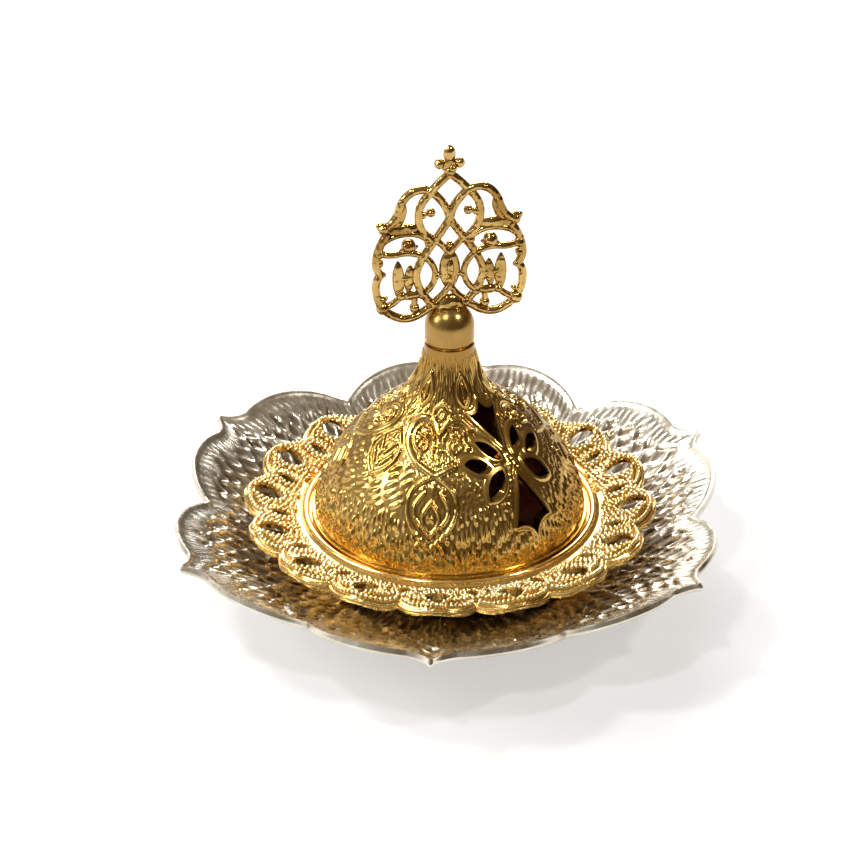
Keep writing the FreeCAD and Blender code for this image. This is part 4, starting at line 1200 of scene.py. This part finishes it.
def dome_relief(lid, angle, up, radius, height):
    """Share of the dome's relief at each place, and its tone for painted shade, from 0 in the darkened
    furrows and neck to 1 on the lines.
    """
    furrow_painted_shade, ground_tone = 0.45, 0.55
    chance = np.random.default_rng(SEED + 1).random(MARK_CHANCES)
    up = up / MM
    share, tone = dome_ground(lid, angle, up, chance)
    for turn, lines, pearls, reach in dome_motifs(lid):
        across = wrapped(angle - turn) * radius / MM
        near = np.abs(across) < reach
        drawn, margin = drawn_motif(lid, np.column_stack([across[near], up[near]]), lines, pearls)
        share[near] = np.maximum(share[near] * margin, drawn)
        # Painted shade in the furrows beside the motifs' lines.
        tone[near] *= furrow_painted_shade + ground_tone * margin
    for turn in VENT_ANGLES:
        across = radius * np.sin(wrapped(angle - turn)) / MM
        front = np.cos(angle - turn) > 0
        border, margin = vent_borders(np.column_stack([across, (height - lid.seat) / MM])[front])
        share[front] = np.maximum(share[front] * margin, border)
    return share, np.maximum(tone, share)


class BURNER_OT_chased_dome(Operator):
    """Turn the dome, raise its chased relief and cut its vents"""

    bl_idname = "burner.chased_dome"
    bl_label = "Chased Dome"

    def execute(self, context):
        lid = context.scene.burner_lid
        sectors, skin, margin = 16, 0.02 * MM, 0.1 * MM
        # The neck is darkened with painted shade in place of dark reflections; plain faces keep their colour.
        neck_painted_shade, plain_tone = 0.1, 0.6
        outline = dome_outline(lid)
        way = self.directions(outline)
        item = turned("chased_dome", self.section(lid, outline, way), lid.steps, sectors)
        places = places_of(item)
        angle, radius = polar(places)
        height = places[:, 2].copy()
        smooth, up, lean_out, lean_up = (
            np.interp(height, outline[:, 1], values)
            for values in (outline[:, 0], lengths(outline), way[:, 1], -way[:, 0]))
        outside = (np.abs(radius - smooth) < skin) & (height > lid.seat + lid.flange_height + margin)
        outside &= height < outline[-1, 1] - margin
        share = np.zeros(len(places))
        tone = np.where(height > lid.seat + lid.neck[1], neck_painted_shade, plain_tone)
        chased = (values[outside] for values in (angle, up, radius, height))
        share[outside], tone[outside] = dome_relief(lid, *chased)
        lift = share * lid.line_height
        places[:, 0] += lift * lean_out * np.cos(angle)
        places[:, 1] += lift * lean_out * np.sin(angle)
        places[:, 2] += lift * lean_up
        put_places(item, places)
        note_painted_shade(item, tone)
        cut(item, list(self.vents(lid)))
        smoothed(item, angle=55)
        finished(item, "lid", "gold_plate", finish("chased_gold"), "dome_lid")
        self.painted_shade_inside(lid, item, outline)
        return {"FINISHED"}

    def directions(self, outline):
        """Unit vectors along an outline."""
        way = np.gradient(outline, axis=0)
        return way / np.linalg.norm(way, axis=1)[:, None]

    def section(self, lid, outline, way):
        """Section of the dome: flange, outer face, neck, ceiling and inner face."""
        relief_end, relief_rings = 39 * MM, 128
        neck_start, neck_rings = 39.5 * MM, 5
        inner_step, flange_share, flange_bevel = 60, 0.6, 0.2 * MM
        top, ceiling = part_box("dome_lid")[1][2], lid.seat + lid.ceiling
        relief = np.linspace(0, relief_end, relief_rings)
        neck = np.linspace(neck_start, lengths(outline)[-1], neck_rings)
        inner = outline + lid.wall * np.column_stack([-way[:, 1], way[:, 0]])
        inner = inner[inner[:, 1] < ceiling][::-1]
        inner = np.vstack([inner[::inner_step], inner[-1:]])
        return np.vstack([
            (lid.flange_radius, lid.seat),
            (lid.flange_radius, lid.seat + lid.flange_height * flange_share),
            (lid.flange_radius - flange_bevel, lid.seat + lid.flange_height),
            at_marks(outline, np.concatenate([relief, neck])),
            [(lid.neck[0], top), (lid.bore, top), (lid.bore, ceiling), (inner[0, 0], ceiling)],
            inner,
            (inner[-1, 0], lid.seat),
        ])

    def vents(self, lid):
        """Solids to cut the vents with."""
        start, depth = -2 * MM, -30 * MM
        for turn in VENT_ANGLES:
            for shape in vent_outlines():
                outline = [(x * MM, start, lid.seat + z * MM) for x, z in shape]
                cutter = prism("vent", outline, (0, depth, 0))
                cutter.rotation_euler.z = turn + math.pi / 2
                yield cutter

    def painted_shade_inside(self, lid, item, outline):
        """Darken the faces inside the dome with painted shade."""
        wall_share, above = 0.8, 1 * MM
        item.data.materials.append(finish("painted_shade_inside_gold"))
        for face in item.data.polygons:
            x, y, z = face.center
            inside = np.interp(z, outline[:, 1], outline[:, 0]) - math.hypot(x, y)
            face.material_index = int(inside > lid.wall * wall_share and z < lid.seat + lid.ceiling + above)


class BURNER_OT_palmette(Operator):
    """Bend the palmette's strands and twigs, and set its knobs, leaves, bud and boss"""

    bl_idname = "burner.palmette"
    bl_label = "Palmette"

    # BUD_HEIGHT and TANG_HEIGHT are in percent of the palmette's height
    STRAND_FRONT = 0.12 * MM
    BOSS_LEAF, BOSS_FRONT = 0.7 * MM, 0.75 * MM
    BUD_BALL, BUD_HEIGHT, BUD_OFFSET = 0.75 * MM, 87.8, 0.5 * MM
    TANG_HEIGHT = 11

    def execute(self, context):
        finial = context.scene.burner_finial
        up = finial.height / 100
        pieces = [piece for side in (1, -1) for piece in self.half(finial, side)]
        for low, high, half_width, depth in AXIS_LEAVES:
            pieces.append(self.leaf((0, low * up), (0, high * up), half_width * MM, depth=depth * MM))
        pieces.append(self.tang(finial))
        item = joined("openwork_palmette", pieces)
        places = places_of(item)
        places[:, 1] *= finial.depth / finial.strand
        places[:, :2] = rotated(places[:, :2], finial.turn)
        places[:, 2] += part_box("finial_palmette")[0][2]
        put_places(item, places)
        smoothed(item, angle=60)
        finished(item, "finial", "gold_plate", finish("cast_gold"), "finial_palmette")
        return {"FINISHED"}

    def half(self, finial, side):
        """One half of the palmette, with what stands on one face of its boss and bud."""
        across, up = side * finial.half_width / 100, finial.height / 100
        for group, width, front in ((STRANDS, finial.strand, self.STRAND_FRONT), (TWIGS, finial.twig, 0)):
            for name, line in group.items():
                places = [(x * across, side * front, z * up) for x, z in line]
                yield tube(name, places, width / 2, smooth=True)
        for x, z, radius in KNOBS:
            if x or side > 0:
                yield self.ball((x * across, 0, z * up), radius * MM)
        for (x0, z0), (x1, z1), half_width in LEAVES:
            yield self.leaf((x0 * across, z0 * up), (x1 * across, z1 * up), half_width * MM)
        for low, high in BOSS_LEAVES:
            yield self.leaf((0, low * up), (0, high * up), self.BOSS_LEAF, side * self.BOSS_FRONT)
        offset = side * self.BUD_OFFSET
        yield self.ball((offset, -offset, self.BUD_HEIGHT * up), self.BUD_BALL)

    def ball(self, place, radius):
        """A round knob."""
        segments, rings = 18, 12
        return sphere(segments, rings, radius, place)

    def leaf(self, low, high, half_width, front=0.0, depth=LEAF_DEPTH * MM):
        """A rounded leaf between two points."""
        segments, rings, thinning, thinning_power = 16, 14, 0.35, 3
        item = sphere(segments, rings, 1)
        across, outward, along = places_of(item).T
        low, high = np.array(low), np.array(high)
        axis = (high - low) / 2
        side = np.array([-axis[1], axis[0]]) / np.linalg.norm(axis)
        taper = 1 - thinning * np.abs(along) ** thinning_power
        plane = (low + high) / 2 + np.outer(along, axis) + np.outer(across * half_width * taper, side)
        put_places(item, np.column_stack([plane[:, 0], front + outward * depth * taper, plane[:, 1]]))
        return item

    def tang(self, finial):
        """The plain bar that stands in the ferrule."""
        high = self.TANG_HEIGHT * finial.height / 100
        deselect()
        bpy.ops.mesh.primitive_cube_add(size=1)
        item = bpy.context.object
        put_places(item, places_of(item) * [finial.tang_width, finial.strand, high] + [0, 0, high / 2])
        return item


class BURNER_OT_turned_metal(Operator):
    """Give the turned and carried-over pieces their plated finishes"""

    bl_idname = "burner.turned_metal"
    bl_label = "Turned Metal"

    FINISHES = {
        "base_foot": "smooth_silver",
        "saucer_riser": "smooth_gold",
        # painted shade over the whole bowl, which sits in the lid's shade
        "burner_bowl": "painted_shade_inside_gold",
        "finial_ferrule": "satin_gold",
        "centre_screw": "turned_steel",
        "centre_washer": "turned_steel",
        "centre_nut": "turned_steel",
        "finial_washer": "turned_steel",
        "finial_screw": "turned_steel",
    }

    def execute(self, context):
        for name, material in self.FINISHES.items():
            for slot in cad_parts[name].material_slots:
                slot.material = finish(material)
        return {"FINISHED"}


class BURNER_OT_stage(Operator):
    """Lay a pale floor and set the lamps, the surroundings and the camera"""

    bl_idname = "burner.stage"
    bl_label = "Studio Stage"

    # Azimuth from the front and elevation in degrees, distance, width and height in metres, power in watts
    LAMPS = {
        "left_softbox": (-80, 32, 0.9, 0.40, 0.30, 3.6),
        "back_left_softbox": (-150, 23, 1.0, 0.7, 0.35, 1.0),
        "back_lamp": (-174, 36, 0.9, 0.6, 0.24, 6.0),
        "key_lamp": (-92, 56, 0.9, 0.14, 0.14, 3.0),
        "glint_lamp": (-30, 60, 0.8, 0.07, 0.07, 1.4),
        "right_glint_lamp": (70, 50, 0.9, 0.08, 0.08, 2.0),
    }
    FROM_LEFT_TO_RIGHT = {0.0: (0.50, 0.49, 0.47), 0.5: (0.18, 0.16, 0.13), 1.0: (0.10, 0.065, 0.03)}
    UPWARDS = {0.5: (0, 0, 0), 1.0: (0.13, 0.11, 0.08)}
    FLOOR_RADIUS, FLOOR_CORNERS, FLOOR_ROUGHNESS, FLOOR_GLOW = 4, 96, 0.9, 0.45

    def execute(self, context):
        stage = context.scene.burner_stage
        context.scene.view_settings.view_transform = "Standard"
        self.floor(stage)
        self.surroundings(context)
        target = Vector((0, 0, stage.target))
        for name, (azimuth, elevation, distance, width, height, power) in self.LAMPS.items():
            lamp = bpy.data.lights.new(name, "AREA")
            lamp.shape = "RECTANGLE"
            lamp.size, lamp.size_y, lamp.energy = width, height, power
            self.aim(linked(name, lamp), target, math.radians(azimuth), math.radians(elevation), distance)
        camera = bpy.data.cameras.new("camera")
        camera.lens = stage.lens
        camera.shift_x = stage.shift
        context.scene.camera = linked("camera", camera)
        self.aim(context.scene.camera, target, stage.azimuth, stage.elevation, stage.distance)
        return {"FINISHED"}

    def aim(self, item, target, azimuth, elevation, distance):
        """Place a lamp or camera round the target, pointing at it."""
        level = math.cos(elevation)
        way = Vector((math.sin(azimuth) * level, -math.cos(azimuth) * level, math.sin(elevation)))
        item.location = target + way * distance
        item.rotation_euler = (math.pi / 2 - elevation, 0, azimuth)

    def floor(self, stage):
        """A pale floor with a faint glow that shows to the camera and in reflections."""
        deselect()
        bpy.ops.mesh.primitive_circle_add(vertices=self.FLOOR_CORNERS, radius=self.FLOOR_RADIUS,
                                          fill_type="NGON")
        floor = named("floor")
        nodes = Nodes("pale_floor")
        nodes.shader.inputs["Roughness"].default_value = self.FLOOR_ROUGHNESS
        nodes.shader.inputs["Base Color"].default_value = (*stage.floor, 1)
        path = nodes.add("ShaderNodeLightPath")
        seen = path.outputs["Is Camera Ray"]
        for name in ("Is Glossy Ray", "Is Transmission Ray"):
            either = nodes.add("ShaderNodeMath", operation="MAXIMUM")
            nodes.link(seen, either.inputs[0])
            nodes.link(path.outputs[name], either.inputs[1])
            seen = either.outputs[0]
        share = nodes.add("ShaderNodeMath", operation="MULTIPLY")
        share.inputs[1].default_value = self.FLOOR_GLOW
        nodes.link(seen, share.inputs[0])
        glow = nodes.add("ShaderNodeEmission")
        glow.inputs["Strength"].default_value = 1.0
        both = nodes.add("ShaderNodeMixShader")
        nodes.link(share.outputs[0], both.inputs["Fac"])
        nodes.link(nodes.shader.outputs["BSDF"], both.inputs[1])
        nodes.link(glow.outputs["Emission"], both.inputs[2])
        nodes.link(both.outputs["Shader"], nodes.tree.nodes["Material Output"].inputs["Surface"])
        floor.data.materials.append(nodes.material)

    def surroundings(self, context):
        """A dim studio: pale on the left, a warm dark on the right and a soft glow overhead."""
        world = bpy.data.worlds.new("studio")
        context.scene.world = world
        world.use_nodes = True
        tree = world.node_tree
        spot = tree.nodes.new("ShaderNodeTexCoord")
        parts = tree.nodes.new("ShaderNodeSeparateXYZ")
        tree.links.new(spot.outputs["Generated"], parts.inputs[0])
        both = tree.nodes.new("ShaderNodeMix")
        both.data_type, both.blend_type = "RGBA", "ADD"
        both.inputs["Factor"].default_value = 1.0
        sideways = self.ramp(tree, parts.outputs["X"], (-1, 1), self.FROM_LEFT_TO_RIGHT)
        upwards = self.ramp(tree, parts.outputs["Z"], (0, 1), self.UPWARDS)
        tree.links.new(sideways, both.inputs["A"])
        tree.links.new(upwards, both.inputs["B"])
        tree.links.new(both.outputs["Result"], tree.nodes["Background"].inputs["Color"])

    def ramp(self, tree, value, limits, stops):
        """Colours along a value between two limits."""
        shift = tree.nodes.new("ShaderNodeMapRange")
        shift.inputs["From Min"].default_value, shift.inputs["From Max"].default_value = limits
        ramp = tree.nodes.new("ShaderNodeValToRGB")
        elements = ramp.color_ramp.elements
        while len(elements) < len(stops):
            elements.new(0.5)
        for element, (place, colour) in zip(elements, stops.items()):
            element.position, element.color = place, (*colour, 1)
        tree.links.new(value, shift.inputs["Value"])
        tree.links.new(shift.outputs["Result"], ramp.inputs["Fac"])
        return ramp.outputs["Color"]


class BURNER_PT_sidebar(Panel):
    """Lists the steps that dress the burner"""

    bl_idname = "BURNER_PT_sidebar"
    bl_label = "Incense Burner"
    bl_space_type = "VIEW_3D"
    bl_region_type = "UI"
    bl_category = "Burner"

    def draw(self, context):
        for step in OPERATORS:
            self.layout.operator(step.bl_idname)


GROUPS = {
    "burner_dish": BurnerDishSizes,
    "burner_saucer": BurnerSaucerSizes,
    "burner_lid": BurnerLidSizes,
    "burner_finial": BurnerFinialSizes,
    "burner_finishes": BurnerFinishes,
    "burner_stage": BurnerStageSizes,
}
OPERATORS = (
    BURNER_OT_stage,
    BURNER_OT_turned_metal,
    BURNER_OT_petal_dish,
    BURNER_OT_lace_saucer,
    BURNER_OT_chased_dome,
    BURNER_OT_palmette,
)


def register():
    for kind in (*GROUPS.values(), *OPERATORS, BURNER_PT_sidebar):
        bpy.utils.register_class(kind)
    for name, group in GROUPS.items():
        setattr(bpy.types.Scene, name, PointerProperty(type=group))


def unregister():
    for name in GROUPS:
        delattr(bpy.types.Scene, name)
    for kind in reversed((*GROUPS.values(), *OPERATORS, BURNER_PT_sidebar)):
        bpy.utils.unregister_class(kind)


def main():
    register()
    bpy.ops.burner.stage()
    bpy.ops.burner.turned_metal()
    bpy.ops.burner.petal_dish()
    bpy.ops.burner.lace_saucer()
    bpy.ops.burner.chased_dome()
    bpy.ops.burner.palmette()


if __name__ == "__main__":
    main()
